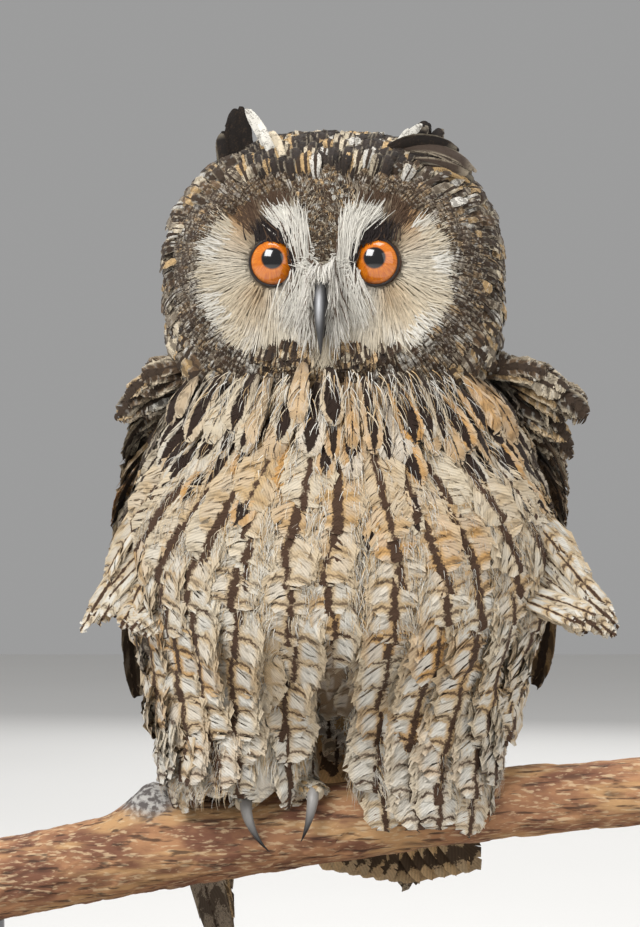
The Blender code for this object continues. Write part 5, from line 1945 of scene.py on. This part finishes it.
@dataclass
class Eyes:
    """The eyeballs with their irises, the clear coat over them and the lids."""

    iris_radius: float = 8.1
    pupil_rise: float = 1.3
    lid_radius: float = 0.5
    orange: Colour = (0.80, 0.24, 0.010)
    deep_orange: Colour = (0.50, 0.085, 0.006)
    rim_colour: Colour = (0.035, 0.010, 0.006)

    def material(self) -> Material:
        """Makes the eye's finish: an orange iris with fine rays round a black pupil."""
        made, wires, shader = new_material("owl_eye")
        uv = wires.put("ShaderNodeUVMap", uv_map="iris").outputs[0]
        split = wires.put("ShaderNodeSeparateXYZ", {0: uv})
        away, turn = split.outputs["X"], split.outputs["Y"]
        places = {0: wires.times(away, 3.0), 1: wires.times(turn, 60.0)}
        spread = wires.put("ShaderNodeCombineXYZ", places)
        rays = wires.noise(spread.outputs[0], 1.0, 3.0)
        iris = wires.mix(wires.ramp(rays, 0.3, 0.75), self.deep_orange, self.orange)
        iris = wires.mix(0.35, iris, self.orange)
        outer = wires.ramp(away, 0.86, 1.0)
        iris = wires.mix(wires.times(outer, 0.97), iris, self.rim_colour)
        inner = wires.inverse(wires.ramp(away, 0.44, 0.52))
        iris = wires.mix(wires.times(inner, 0.8), iris, self.rim_colour)
        pupil = wires.inverse(wires.ramp(away, 0.425, 0.455))
        colour = wires.mix(pupil, iris, (0.002, 0.002, 0.003))
        wires.give(
            shader,
            {"Base Color": colour, "Roughness": 0.12, "Coat Weight": 1.0, "Coat Roughness": 0.02},
        )
        return made

    def lid_material(self) -> Material:
        """Makes the finish of the bare lids."""
        made, wires, shader = new_material("eyelid")
        grain = wires.noise(wires.object_place(), 1800.0, 2.0)
        colour = wires.mix(grain, (0.006, 0.004, 0.004), (0.022, 0.013, 0.011))
        wires.give(
            shader,
            {"Base Color": colour, "Normal": wires.bump(grain, 0.4, 0.2), "Roughness": 0.45},
        )
        return made

    def build_eye(self, side_name: str) -> Object:
        """Makes one eyeball whose map runs from the pupil out.

        Args:
            side_name: left or right.

        Returns:
            The eyeball.
        """
        centre = PLAN.eye_centre(SIDES[side_name])
        bm = bmesh.new()
        bmesh.ops.create_uvsphere(bm, u_segments=64, v_segments=48, radius=PLAN.eye_radius)
        bmesh.ops.rotate(bm, matrix=Matrix.Rotation(math.radians(90), 3, "X"), verts=bm.verts)
        layer = bm.loops.layers.uv.new("iris")
        tilt = self.pupil_rise
        for face in bm.faces:
            for loop in face.loops:
                x, y, z = loop.vert.co
                front = y < 0
                edge = math.hypot(x, z) / self.iris_radius
                lean = max(1 - edge, 0) if front else 0
                dx, dz = x, z - tilt * min(1, 2 * lean)
                away = math.hypot(dx, dz) / self.iris_radius if front else 1.2
                loop[layer].uv = (away, math.atan2(dx, dz) / TAU + 0.5)
        turn = np.array(Matrix.Rotation(PLAN.head_yaw, 4, "Z"))
        move = Matrix.Translation(Vector(PLAN.from_head(centre[None])[0])) @ Matrix(turn)
        bmesh.ops.transform(bm, matrix=move, verts=bm.verts)
        return from_mm(f"eyeball_{side_name}", bm)

    def build_lid(self, side_name: str) -> Object:
        """Makes the bare lid round one eye.

        Args:
            side_name: left or right.

        Returns:
            The lid.
        """
        side = SIDES[side_name]
        bm = bmesh.new()
        bmesh.ops.create_circle(bm, segments=14, radius=self.lid_radius)
        bmesh.ops.rotate(bm, matrix=Matrix.Rotation(math.radians(90), 3, "X"), verts=bm.verts)
        away = PLAN.eye_opening + self.lid_radius * 0.3
        bmesh.ops.translate(bm, vec=(away, 0, 0), verts=bm.verts)
        ring = [*bm.verts, *bm.edges]
        bmesh.ops.spin(bm, geom=ring, axis=(0, 0, 1), angle=TAU, steps=64, use_merge=True)
        bmesh.ops.remove_doubles(bm, verts=bm.verts, dist=1e-4)
        bmesh.ops.recalc_face_normals(bm, faces=bm.faces)
        centre = PLAN.eye_centre(side)
        rest = math.sqrt(PLAN.eye_radius**2 - PLAN.eye_opening**2)
        place = np.array([centre[0], centre[1] - rest, centre[2]])
        move = (
            Matrix.Translation(Vector(PLAN.from_head(place[None])[0]))
            @ Matrix.Rotation(PLAN.head_yaw, 4, "Z") @ Matrix.Rotation(math.radians(90), 4, "X")
        )
        bmesh.ops.transform(bm, matrix=move, verts=bm.verts)
        return from_mm(f"eyelid_{side_name}", bm)

    def build(self) -> None:
        """Makes both eyes."""
        glass, bare = self.material(), self.lid_material()
        for side_name in SIDES:
            place_piece(self.build_eye(side_name), glass, [f"eye_{side_name}"])
            place_piece(self.build_lid(side_name), bare)


@dataclass(frozen=True)
class Horn:
    """The finish of bill and claws: dark horn, mixed towards a painted highlight where the stored
    tint is high.
    """

    dark: Colour = (0.012, 0.012, 0.014)
    # Colour of the painted highlight.
    pale: Colour = (0.20, 0.20, 0.21)

    def build(self, name: str) -> Material:
        """Makes the material."""
        made, wires, shader = new_material(name)
        tint = wires.attribute("tint")
        grain = wires.noise(wires.stretched(wires.object_place(), (900, 900, 260)), 1.0, 3.0)
        # The stored tint mixes the dark horn towards the painted highlight colour.
        colour = wires.mix(tint.outputs["Fac"], self.dark, self.pale)
        shade = wires.plus(0.8, wires.times(grain, 0.4))
        colour = wires.dimmed(colour, shade)
        wires.give(shader, {"Base Color": colour})
        rough = wires.plus(0.30, wires.times(grain, 0.22))
        wires.give(shader, {"Roughness": rough, "Normal": wires.bump(grain, 0.25, 0.15)})
        return made


def paint_horn_highlight(piece: Object, share: Array) -> None:
    """Stores how much painted highlight the horn has at each point of a piece."""
    store_colours(piece.data, "tint", rows_of(share, share, share))


def points_of(piece: Object) -> Array:
    """Returns a piece's points."""
    found = np.zeros(len(piece.data.vertices) * 3, np.float32)
    piece.data.vertices.foreach_get("co", found)
    return found.reshape(-1, 3).astype(float)


@dataclass
class Bill:
    """Upper and lower bill, hooked, with a narrow painted highlight along the upper bill's ridge.
    """

    upper: tuple = ((0, -38, -6), (0, -54, -4), (0, -60, -18), (0, -53, -29))
    lower: tuple = ((0, -38, -17), (0, -48, -19), (0, -52, -25))
    half_width: float = 3.7
    half_depth: float = 5.5

    def build(self) -> None:
        """Makes the bill's two pieces."""
        horn = Horn(pale=(0.50, 0.50, 0.51)).build("bill_horn")
        turn = PLAN.head_turn()
        across = turn @ np.array([1.0, 0, 0])
        for name, line, scale in (
            ("bill_upper_horn", self.upper, 1.0), ("bill_lower_horn", self.lower, 0.7),
        ):
            points = PLAN.from_head(np.array(line, float)) * MM
            piece = bent_form(
                name, points, lambda t: self.half_width * scale * MM * (1 - 0.88 * t**1.5),
                lambda t: self.half_depth * scale * MM * (1 - 0.86 * t**1.6), across,
            )
            local = (points_of(piece) / MM - np.array(PLAN.head_centre)) @ turn
            # Painted highlight down the upper bill's ridge, a little left of the middle, fading
            # towards the tip; the lower bill gets none.
            ridge = np.exp(-(((local[:, 0] + 0.3) / 0.95) ** 2)) * ramp(-local[:, 1], 50, 55)
            ridge *= 1 - 0.9 * ramp(-local[:, 2], 13, 22)
            paint_horn_highlight(piece, ridge if scale == 1.0 else ridge * 0)
            place_piece(piece, horn, [name.replace("_horn", "")])


@dataclass
class Feet:
    """Feathered toes over the branch and their claws."""

    toe_radius: float = 4.4
    down_count: int = 230
    talon_radius: float = 2.5
    ankle: float = 15.0
    gap: float = 0.3
    toes: tuple = (
        ("inner", -12.5, 48, 17.0), ("outer", 12.5, 48, 17.0), ("back_inner", -9.0, -62, 13.0),
        ("back_outer", 9.0, -62, 13.0),
    )
    rng: np.random.Generator = seeded(18)

    def toe_line(self, foot_x: float, spread: float, sweep: float) -> Array:
        """Returns a toe's middle line over the branch in mm."""
        t = np.linspace(0, 1, 5)
        height, radius = PLAN.perch_at(foot_x + spread * t)
        away = radius + self.toe_radius + 2 * self.gap
        turn = math.radians(sweep) * t
        return rows_of(foot_x + spread * t, -np.sin(turn) * away, height + np.cos(turn) * away)

    def build_core(self, side_name: str) -> Object:
        """Makes the toes' skin in one form.

        Args:
            side_name: left or right.

        Returns:
            The new object.
        """
        foot_x = PLAN.feet_x[side_name]
        height, radius = PLAN.perch_at(np.array([foot_x]))
        ground = height[0] + radius[0]
        bm = bmesh.new()
        for _, spread, sweep, _ in self.toes:
            line = self.toe_line(foot_x, spread, sweep)
            for step in np.linspace(0, 1, 26):
                spot = bezier(line, np.array([step]))[0]
                place = Matrix.Translation(Vector(spot))
                size = self.toe_radius * (1 - 0.25 * step) * (1 + 0.06 * math.sin(step * 19))
                bmesh.ops.create_icosphere(bm, subdivisions=2, radius=size, matrix=place)
        for rise in np.linspace(0, self.ankle, 6):
            place = Matrix.Translation((foot_x, 0, ground + self.toe_radius + rise))
            bmesh.ops.create_icosphere(bm, subdivisions=2, radius=7.2, matrix=place)
        piece = from_mm(f"toes_{side_name}", bm)
        remeshed(piece, 0.9 * MM, 2)
        clear_of_branch(piece, self.gap)
        return piece

    def down_flock(self, side_name: str) -> Flock:
        """Lays the short downy feathers of the toes."""
        rng = self.rng
        rows = []
        for _, spread, sweep, _ in self.toes:
            line = self.toe_line(PLAN.feet_x[side_name], spread, sweep)
            count = self.down_count
            t = rng.uniform(0, 0.97, count)
            turn = rng.uniform(-2.1, 2.1, count)
            middle = bezier(line, t)
            ahead = unit(course(line, t, 0.03))
            centre_height, _ = PLAN.perch_at(middle[:, 0])
            up = unit(middle - rows_of(middle[:, 0], 0 * t, centre_height))
            side = np.cross(ahead, up)
            out = up * np.cos(turn)[:, None] + side * np.sin(turn)[:, None]
            radius = self.toe_radius * (1 - 0.25 * t)
            root = middle + out * (radius - 0.4)[:, None]
            length = rng.normal(4.2, 0.5, count)
            tip = root + ahead * length[:, None] + out * 1.0
            rows.append((root, (root + tip) / 2 + out * 0.7, tip, out, t, turn))
        root, bow, tip, out, t, turn = (np.concatenate(column) for column in zip(*rows))
        count = len(root)
        ground = picked(rng, (CREAM, WHITE, BUFF), (4, 3, 1.5), count)
        return Flock(
            root=root * MM, bow=bow * MM, tip=tip * MM, outward=out,
            half_width=rng.normal(0.85, 0.1, count) * MM, ground=ground,
            marks=np.tile([0.0, 0.05, 0.3, 0.2], (count, 1)), patch=patch_of(turn / TAU + 0.5, t),
        )

    def build_talon(self, side_name: str, toe: tuple, horn: Material) -> None:
        """Makes one curved claw that replaces its solid."""
        name, spread, sweep, length = toe
        line = self.toe_line(PLAN.feet_x[side_name], spread, sweep)
        root = bezier(line, np.array([1.0]))[0]
        ahead = unit(line[-1] - line[-3])
        outward = math.copysign(1, ahead[1])
        inward = -math.copysign(1, spread)
        lean = inward * (0.55 if name.endswith("inner") else 0.3)
        points = np.array([
            root - ahead * 2, root + np.array([0, outward, 0.1]) * length * 0.42,
            root + np.array([inward * 0.1, outward * 0.42, -0.6]) * length,
            root + np.array([lean, outward * 0.2, -1.0]) * length,
        ])
        across = unit(np.cross(points[-1] - points[0], np.array([0, outward, 0.3])))
        piece = bent_form(
            f"claw_{side_name}_{name}", points * MM,
            lambda t: self.talon_radius * MM * (1 - 0.93 * t**1.5),
            lambda t: self.talon_radius * 1.25 * MM * (1 - 0.93 * t**1.5), across, 20, 26,
        )
        # Painted highlight: paler towards the claw's root, dark at its tip.
        share = 1 - ramp(-points_of(piece)[:, 2] / MM, -root[2] - 1, -root[2] + length * 0.9)
        paint_horn_highlight(piece, share * 0.9)
        place_piece(piece, horn, [f"talon_{side_name}_{name}"])

    def build(self, skin: Material, fine: Material) -> None:
        """Makes both feet."""
        # The claws' horn, with its painted highlight colour.
        horn = Horn(pale=(0.42, 0.40, 0.38)).build("claw_horn")
        for seed, side_name in enumerate(SIDES, 81):
            core = self.build_core(side_name)
            colour_points(core, lambda p: np.tile(CREAM, (len(p), 1)))
            place_piece(core, skin, [f"foot_{side_name}"])
            flock = self.down_flock(side_name)
            piece = build_flock(f"toe_down_{side_name}", flock, Cut.SMALL, seed)
            place_piece(piece, fine)
            for toe in self.toes:
                self.build_talon(side_name, toe, horn)


def remeshed(piece: Object, voxel: float, smoothing: int) -> None:
    """Fuses a piece's closed forms into one smooth surface.

    Args:
        piece: The piece to change.
        voxel: Grain of the new surface in metres.
        smoothing: Rounds of smoothing.
    """
    fuse = piece.modifiers.new("Fuse", "REMESH")
    fuse.mode = "VOXEL"
    fuse.voxel_size = voxel
    if smoothing:
        soften = piece.modifiers.new("Soften", "SMOOTH")
        soften.iterations = smoothing
    bpy.context.view_layer.update()
    shape = piece.evaluated_get(bpy.context.evaluated_depsgraph_get())
    mesh = bpy.data.meshes.new_from_object(shape)
    piece.modifiers.clear()
    piece.data = mesh
    mesh.polygons.foreach_set("use_smooth", np.ones(len(mesh.polygons), bool))


def clear_of_branch(piece: Object, gap: float) -> None:
    """Pushes a piece's points out of the branch."""
    points = points_of(piece) / MM
    height, radius = PLAN.perch_at(points[:, 0])
    away = np.hypot(points[:, 1], points[:, 2] - height)
    grow = np.maximum(radius + gap, away) / np.maximum(away, 1e-6)
    points[:, 1] *= grow
    points[:, 2] = height + (points[:, 2] - height) * grow
    piece.data.vertices.foreach_set("co", (points * MM).astype(np.float32).ravel())


def colour_points(piece: Object, colour_at: Callable[[Array], Array]) -> None:
    """Colours a piece's points by their places in mm."""
    store_colours(piece.data, "tint", colour_at(points_of(piece) / MM))


@dataclass
class Skin:
    """One closed skin under all feathers, with the coat's colours."""

    depth: float = 4.5
    voxel: float = 2.0
    face_half_height: float = 37.0

    def colour_at(self, points: Array) -> Array:
        """Returns the coat's colour at places in mm."""
        front = ramp(-points[:, 1], -6, 16)
        back = mixed(MID_BROWN, DARK_BROWN, np.full(len(points), 0.4))
        belly = mixed((0.33, 0.22, 0.12), (0.45, 0.34, 0.22), ramp(-points[:, 2], -230, -190))
        found = back * (1 - front)[:, None] + belly * front[:, None]
        local = (points - np.array(PLAN.head_centre)) @ PLAN.head_turn()
        up = (local[:, 2] - PLAN.disc_height) / self.face_half_height
        rim = np.hypot(local[:, 0] / PLAN.disc_half_width, up)
        on_face = (local[:, 1] < -8) & (rim < 1.05)
        # The face's colours at 0.62 under the filaments: painted shade deep between them.
        face = Face().colour_at(local[:, 0], local[:, 2]) * 0.62
        head = local[:, 2] > -32
        found = np.where(head[:, None], MID_BROWN, found)
        return np.where(on_face[:, None], face, found)

    def build(self, skin: Material) -> None:
        """Makes the skin out of trunk, head and legs."""
        bm = bmesh.new()
        made = bmesh.ops.create_uvsphere(bm, u_segments=72, v_segments=60, radius=1.0)["verts"]
        units = np.array([v.co for v in made])
        height = PLAN.trunk_low + (units[:, 2] + 1) / 2 * (PLAN.trunk_high - PLAN.trunk_low)
        points = PLAN.trunk(np.arctan2(units[:, 0], -units[:, 1]), height)
        flat = np.hypot(units[:, 0], units[:, 1]) < 1e-3
        middle = np.array([2.0, 4.0])
        points[flat, :2] = middle
        points[:, :2] = middle + (points[:, :2] - middle) * (1 - self.depth / 62)
        for vert, point in zip(made, points):
            vert.co = point
        made = bmesh.ops.create_uvsphere(bm, u_segments=96, v_segments=72, radius=1.0)["verts"]
        bmesh.ops.rotate(bm, matrix=Matrix.Rotation(math.radians(90), 3, "X"), verts=made)
        units = unit(np.array([v.co for v in made]))
        surface = PLAN.head_surface(units)
        shrink = 1.6 * ramp(units[:, 1], -0.6, 0.0) + 0.3
        points = PLAN.from_head(surface - units * shrink[:, None])
        for vert, point in zip(made, points):
            vert.co = point
        for side_name, side in SIDES.items():
            foot_x = PLAN.feet_x[side_name]
            for t in np.linspace(0, 1, 12):
                x = side * 32 * (1 - t) + (foot_x + side * 1.5) * t
                size = (24 - 12 * t) if t > 0.15 else 23
                place = Matrix.Translation((x, -3, 196 - t * 62))
                bmesh.ops.create_icosphere(bm, subdivisions=3, radius=size, matrix=place)
        piece = from_mm("skin", bm)
        remeshed(piece, self.voxel * MM, 3)
        colour_points(piece, self.colour_at)
        place_piece(piece, skin, ["head", "neck", "torso", "leg_left", "leg_right"])


@dataclass
class Branch:
    """The cut length of pine branch: plates of flaking bark, a knot and clean-cut ends."""

    half_length: float = 136.0
    knot_x: float = -66.0
    knot_radius: float = 11.0
    knot_rise: float = 9.0
    plate: float = 6.5
    relief: float = 1.5
    noise_seed: int = 19
    along: int = 420
    round: int = 120

    def material(self) -> Material:
        """Makes the bark's finish."""
        made, wires, shader = new_material("pine_bark")
        place = wires.object_place()
        high = wires.attribute("tint").outputs["Fac"]
        patchy = wires.noise(wires.stretched(place, (60, 110, 110)), 1.0, 4.0)
        fine = wires.noise(wires.stretched(place, (350, 800, 800)), 1.0, 4.0)
        share = wires.ramp(patchy, 0.36, 0.64)
        colour = wires.mix(share, (0.20, 0.085, 0.048), (0.46, 0.235, 0.115))
        ochre = wires.noise(wires.stretched(place, (20, 120, 120)), 1.0, 4.0)
        share = wires.times(wires.ramp(ochre, 0.45, 0.6), 0.8)
        colour = wires.mix(share, colour, (0.60, 0.36, 0.165))
        fibre = wires.noise(wires.stretched(place, (230, 900, 900)), 1.0, 4.0)
        share = wires.times(wires.ramp(fibre, 0.53, 0.64), 0.7)
        colour = wires.mix(share, colour, (0.66, 0.48, 0.29))
        dark_fibre = wires.noise(wires.stretched(place, (80, 700, 700)), 1.0, 4.0)
        gaps = wires.inverse(wires.ramp(dark_fibre, 0.34, 0.46))
        colour = wires.mix(wires.times(gaps, 0.8), colour, (0.05, 0.025, 0.016))
        # Painted shade: darker where the relief is low, in the bark's cracks.
        deep = wires.inverse(wires.ramp(high, 0.12, 0.5))
        colour = wires.mix(wires.times(deep, 0.7), colour, (0.045, 0.024, 0.016))
        knot = wires.attribute("marks").outputs["Fac"]
        scab = wires.noise(wires.stretched(place, (500, 500, 500)), 1.0, 4.0)
        grey = wires.mix(wires.ramp(scab, 0.42, 0.6), (0.12, 0.105, 0.10), (0.50, 0.48, 0.45))
        colour = wires.mix(wires.ramp(knot, 0.25, 0.6), colour, grey)
        wires.give(
            shader,
            {"Base Color": colour, "Normal": wires.bump(fine, 0.6, 0.6), "Roughness": 0.88},
        )
        return made

    def cut_material(self) -> Material:
        """Makes the finish of the sawn ends, with year rings."""
        made, wires, shader = new_material("sawn_pine")
        place = wires.object_place()
        uv = wires.put("ShaderNodeUVMap", uv_map="rings").outputs[0]
        away = wires.put("ShaderNodeSeparateXYZ", {0: uv}).outputs["X"]
        wobble = wires.times(wires.noise(place, 160.0, 2.0), 0.12)
        phase = wires.math("FRACT", wires.times(wires.plus(away, wobble), 11.0))
        ring = wires.ramp(phase, 0.55, 0.95)
        colour = wires.mix(ring, (0.58, 0.42, 0.24), (0.34, 0.20, 0.09))
        colour = wires.mix(wires.ramp(away, 0.86, 0.93), colour, (0.10, 0.05, 0.03))
        grain = wires.noise(place, 1400.0, 2.0)
        wires.give(
            shader,
            {"Base Color": colour, "Normal": wires.bump(grain, 0.3, 0.2), "Roughness": 0.7},
        )
        return made

    def plates(self, x: Array, turn: Array, radius: Array) -> Array:
        """Returns the bark's relief from 0 in the cracks to 1 on the plates."""
        noise.seed_set(self.noise_seed)
        found = np.zeros(len(x))
        for number, (px, pt, pr) in enumerate(zip(x, turn, radius)):
            spot = Vector((px, math.cos(pt) * pr, math.sin(pt) * pr)) / self.plate
            bent = spot + noise.noise_vector(spot * 0.5) * 0.5
            fibre = 1 - 2.4 * abs(noise.noise(Vector((bent.x * 0.35, bent.y * 2.6, bent.z * 2.6))))
            long = Vector((bent.x * 0.55, bent.y * 1.3, bent.z * 1.3))
            flake = noise.noise(long + Vector((7, 3, 1)))
            step = 1 / (1 + math.exp(-24 * (flake - 0.02)))
            broad = noise.noise(spot * 0.35)
            found[number] = 0.38 + 0.22 * fibre + 0.34 * step + 0.35 * broad
        return np.clip(found, 0, 1)

    def build(self) -> None:
        """Makes the branch with its sawn ends."""
        bm = bmesh.new()
        bmesh.ops.create_grid(bm, x_segments=self.along, y_segments=self.round, size=1.0)
        flat = np.array([v.co for v in bm.verts])
        x, turn = flat[:, 0] * self.half_length, flat[:, 1] * math.pi
        height, radius = PLAN.perch_at(x)
        relief = self.plates(x, turn, radius)
        up = np.maximum(np.cos(turn), 0)
        knot = np.exp(-(((x - self.knot_x) / self.knot_radius) ** 2)) * up**2
        edge = ramp(np.abs(x), self.half_length - 0.6, self.half_length)
        swell = radius + (relief - 0.75) * self.relief * (1 - edge) * (1 + 0.9 * knot)
        z = height + np.cos(turn) * swell + self.knot_rise * knot
        points = rows_of(x, np.sin(turn) * swell, z)
        for vert, point in zip(bm.verts, points):
            vert.co = point * MM
        # The bark's relief, which its finish also turns into painted shade in the cracks.
        layer = bm.verts.layers.float_color.new("tint")
        second = bm.verts.layers.float_color.new("marks")
        bm.verts.ensure_lookup_table()
        for vert, level, bump in zip(bm.verts, relief, knot):
            vert[layer] = (level, level, level, 1)
            vert[second] = (bump, bump, bump, 1)
        bmesh.ops.remove_doubles(bm, verts=bm.verts, dist=0.02 * MM)
        bmesh.ops.recalc_face_normals(bm, faces=bm.faces)
        bark = from_bmesh("branch_bark", bm)
        place_piece(bark, self.material(), ["perch"])
        cut = self.cut_material()
        for side_name, side in SIDES.items():
            place_piece(self.build_end(side_name, side), cut)

    def build_end(self, side_name: str, side: float) -> Object:
        """Makes one sawn face of the branch."""
        x = side * self.half_length
        height, radius = PLAN.perch_at(np.array([x]))
        bm = bmesh.new()
        layer = bm.loops.layers.uv.new("rings")
        size = radius[0] - 0.25 * self.relief
        bmesh.ops.create_circle(bm, segments=self.round, radius=size, cap_ends=True)
        for _ in range(5):
            widest = max(bm.faces, key=lambda f: len(f.verts))
            bmesh.ops.inset_individual(bm, faces=[widest], thickness=radius[0] / 7)
        widest = max(bm.faces, key=lambda f: len(f.verts))
        bmesh.ops.poke(bm, faces=[widest])
        for face in bm.faces:
            for loop in face.loops:
                loop[layer].uv = (loop.vert.co.length / radius[0], 0.5)
        quarter = Matrix.Rotation(side * math.radians(90), 3, "Y")
        bmesh.ops.rotate(bm, matrix=quarter, verts=bm.verts)
        bmesh.ops.translate(bm, vec=(x, 0, height[0]), verts=bm.verts)
        return from_mm(f"branch_end_{side_name}", bm)


@dataclass
class Stand:
    """The plain display stand: a stained wooden base and two dark steel rods."""

    length: float = 280.0
    depth: float = 196.0
    thickness: float = 14.0
    corner: float = 42.0
    edge: float = 2.5
    wood_dark: Colour = (0.055, 0.028, 0.016)
    wood_light: Colour = (0.15, 0.080, 0.042)

    def wood(self) -> Material:
        """Makes the finish of stained wood with a long grain."""
        made, wires, shader = new_material("stained_wood")
        place = wires.object_place()
        wave = wires.noise(wires.stretched(place, (9, 120, 120)), 1.0, 4.0)
        fine = wires.noise(wires.stretched(place, (60, 1500, 1500)), 1.0, 3.0)
        colour = wires.mix(wires.ramp(wave, 0.3, 0.7), self.wood_dark, self.wood_light)
        colour = wires.mix(wires.times(wires.ramp(fine, 0.45, 0.75), 0.5), colour, self.wood_dark)
        wires.give(shader, {"Base Color": colour})
        rough = wires.plus(0.32, wires.times(fine, 0.2))
        wires.give(
            shader,
            {"Roughness": rough, "Normal": wires.bump(fine, 0.15, 0.2), "Coat Weight": 0.25},
        )
        return made

    def steel(self) -> Material:
        """Makes the finish of brushed dark steel."""
        made, wires, shader = new_material("dark_steel")
        lines = wires.noise(wires.stretched(wires.object_place(), (300, 300, 6000)), 1.0, 2.0)
        colour = wires.mix(lines, (0.20, 0.20, 0.21), (0.36, 0.36, 0.37))
        wires.give(shader, {"Base Color": colour})
        rough = wires.plus(0.25, wires.times(lines, 0.2))
        wires.give(shader, {"Roughness": rough, "Metallic": 1.0})
        return made

    def build(self, nodes: dict) -> None:
        """Makes the base, and gives the rods their finish."""
        bm = bmesh.new()
        bmesh.ops.create_cube(bm, size=1.0)
        size = (self.length * MM, self.depth * MM, self.thickness * MM)
        bmesh.ops.scale(bm, vec=size, verts=bm.verts)
        bmesh.ops.translate(bm, vec=(0, 0, self.thickness * MM / 2), verts=bm.verts)
        upright = [e for e in bm.edges if abs(e.verts[0].co.z - e.verts[1].co.z) > MM]
        options = {"affect": "EDGES", "profile": 0.5, "material": -1}
        bmesh.ops.bevel(bm, geom=upright, offset=self.corner * MM, segments=24, **options)
        top = [e for e in bm.edges if all(v.co.z > (self.thickness - 1) * MM for v in e.verts)]
        bmesh.ops.bevel(bm, geom=top, offset=self.edge * MM, segments=5, **options)
        piece = from_bmesh("base_board", bm, smooth=False)
        for polygon in piece.data.polygons:
            polygon.use_smooth = abs(polygon.normal.z) < 0.99
        place_piece(piece, self.wood(), ["stand_base"])
        steel = self.steel()
        for side_name in SIDES:
            mesh = nodes[f"stand_rod_{side_name}"].data
            mesh.materials.clear()
            mesh.materials.append(steel)


@dataclass
class Studio:
    """Floor, soft light and the camera at the photograph's angle."""

    view_x: float = -6.9
    view_z: float = 234.4
    view_half_height: float = 159.9
    distance: float = 1180.0
    plane_y: float = -22.0

    def build(self) -> None:
        """Makes the stage, the lights and the camera."""
        bm = bmesh.new()
        bmesh.ops.create_grid(bm, x_segments=1, y_segments=1, size=3.0)
        floor = from_bmesh("floor", bm)
        pale, wires, shader = new_material("pale_floor")
        shade = wires.noise(wires.object_place(), 3.0, 2.0)
        colour = wires.mix(shade, (0.74, 0.73, 0.71), (0.78, 0.77, 0.75))
        pale.node_tree.links.new(colour, shader.inputs["Base Color"])
        wires.give(shader, {"Roughness": 0.9})
        floor.data.materials.append(pale)
        camera = bpy.data.cameras.new("camera")
        camera.sensor_fit = "VERTICAL"
        camera.angle = 2 * math.atan(self.view_half_height / self.distance)
        seen = bpy.data.objects.new("camera", camera)
        seen.location = (self.view_x * MM, (self.plane_y - self.distance) * MM, self.view_z * MM)
        seen.rotation_euler = (math.radians(90), 0, 0)
        bpy.context.scene.collection.objects.link(seen)
        bpy.context.scene.camera = seen
        for name, spot, power, size in (
            ("key", (-0.8, -1.2, 1.5), 30.0, 0.9), ("fill", (1.3, -1.0, 0.8), 7.0, 1.4),
            ("top", (0.1, 0.2, 1.7), 14.0, 1.0), ("back", (0.3, 1.5, 0.9), 7.0, 1.4),
        ):
            light = bpy.data.lights.new(name, "AREA")
            light.energy = power
            light.size = size
            lamp = bpy.data.objects.new(name, light)
            lamp.location = spot
            aim = Vector((0, 0, 0.22)) - Vector(spot)
            lamp.rotation_euler = aim.to_track_quat("-Z", "Y").to_euler()
            bpy.context.scene.collection.objects.link(lamp)
        world = bpy.data.worlds.new("soft_sky")
        world.use_nodes = True
        world.node_tree.nodes["Background"].inputs["Color"].default_value = (0.88, 0.88, 0.88, 1)
        world.node_tree.nodes["Background"].inputs["Strength"].default_value = 0.38
        bpy.context.scene.world = world
        bpy.context.scene.view_settings.view_transform = "Standard"


def main() -> None:
    """Loads the solids and dresses them."""
    logging.basicConfig(level=logging.INFO, format="%(message)s")
    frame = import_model()
    group = feather_marks_group()
    loose, streaked, mantle, fine, stiff, broad = (
        finish.build(group)
        for finish in (
            Plumage("belly_plumage", dark=(0.075, 0.042, 0.026), bar_count=4, bar_width=0.10),
            Plumage("breast_plumage", dark=(0.030, 0.018, 0.013), bar_count=4, point=1.0),
            Plumage("mantle_plumage", bar_count=5, bar_width=0.45, speckle=0.6),
            Plumage("fine_plumage", bar_count=3, bar_width=0.42, speckle=0.6, root_down_and_painted_shade=0.3),
            Plumage("flight_plumage", bar_count=8, bar_width=0.4, speckle=0.6, root_down_and_painted_shade=0.2),
            Plumage("tail_plumage", bar_count=5, bar_width=0.38, speckle=0.15, root_down_and_painted_shade=0.2),
        )
    )
    down = Down("face_down").build()
    bare = Down("skin_down", uneven=0.35).build()
    Studio().build()
    Skin().build(bare)
    Coat().build(loose, streaked, mantle, down)
    Legs().build(loose)
    Hood().build(fine)
    Face().build(down, fine)
    EarTufts().build(fine)
    Eyes().build()
    Bill().build()
    Wings().build(stiff, mantle)
    Tail().build(broad, mantle)
    Feet().build(bare, fine)
    Branch().build()
    Stand().build(frame["nodes"])


if __name__ == "__main__":
    main()
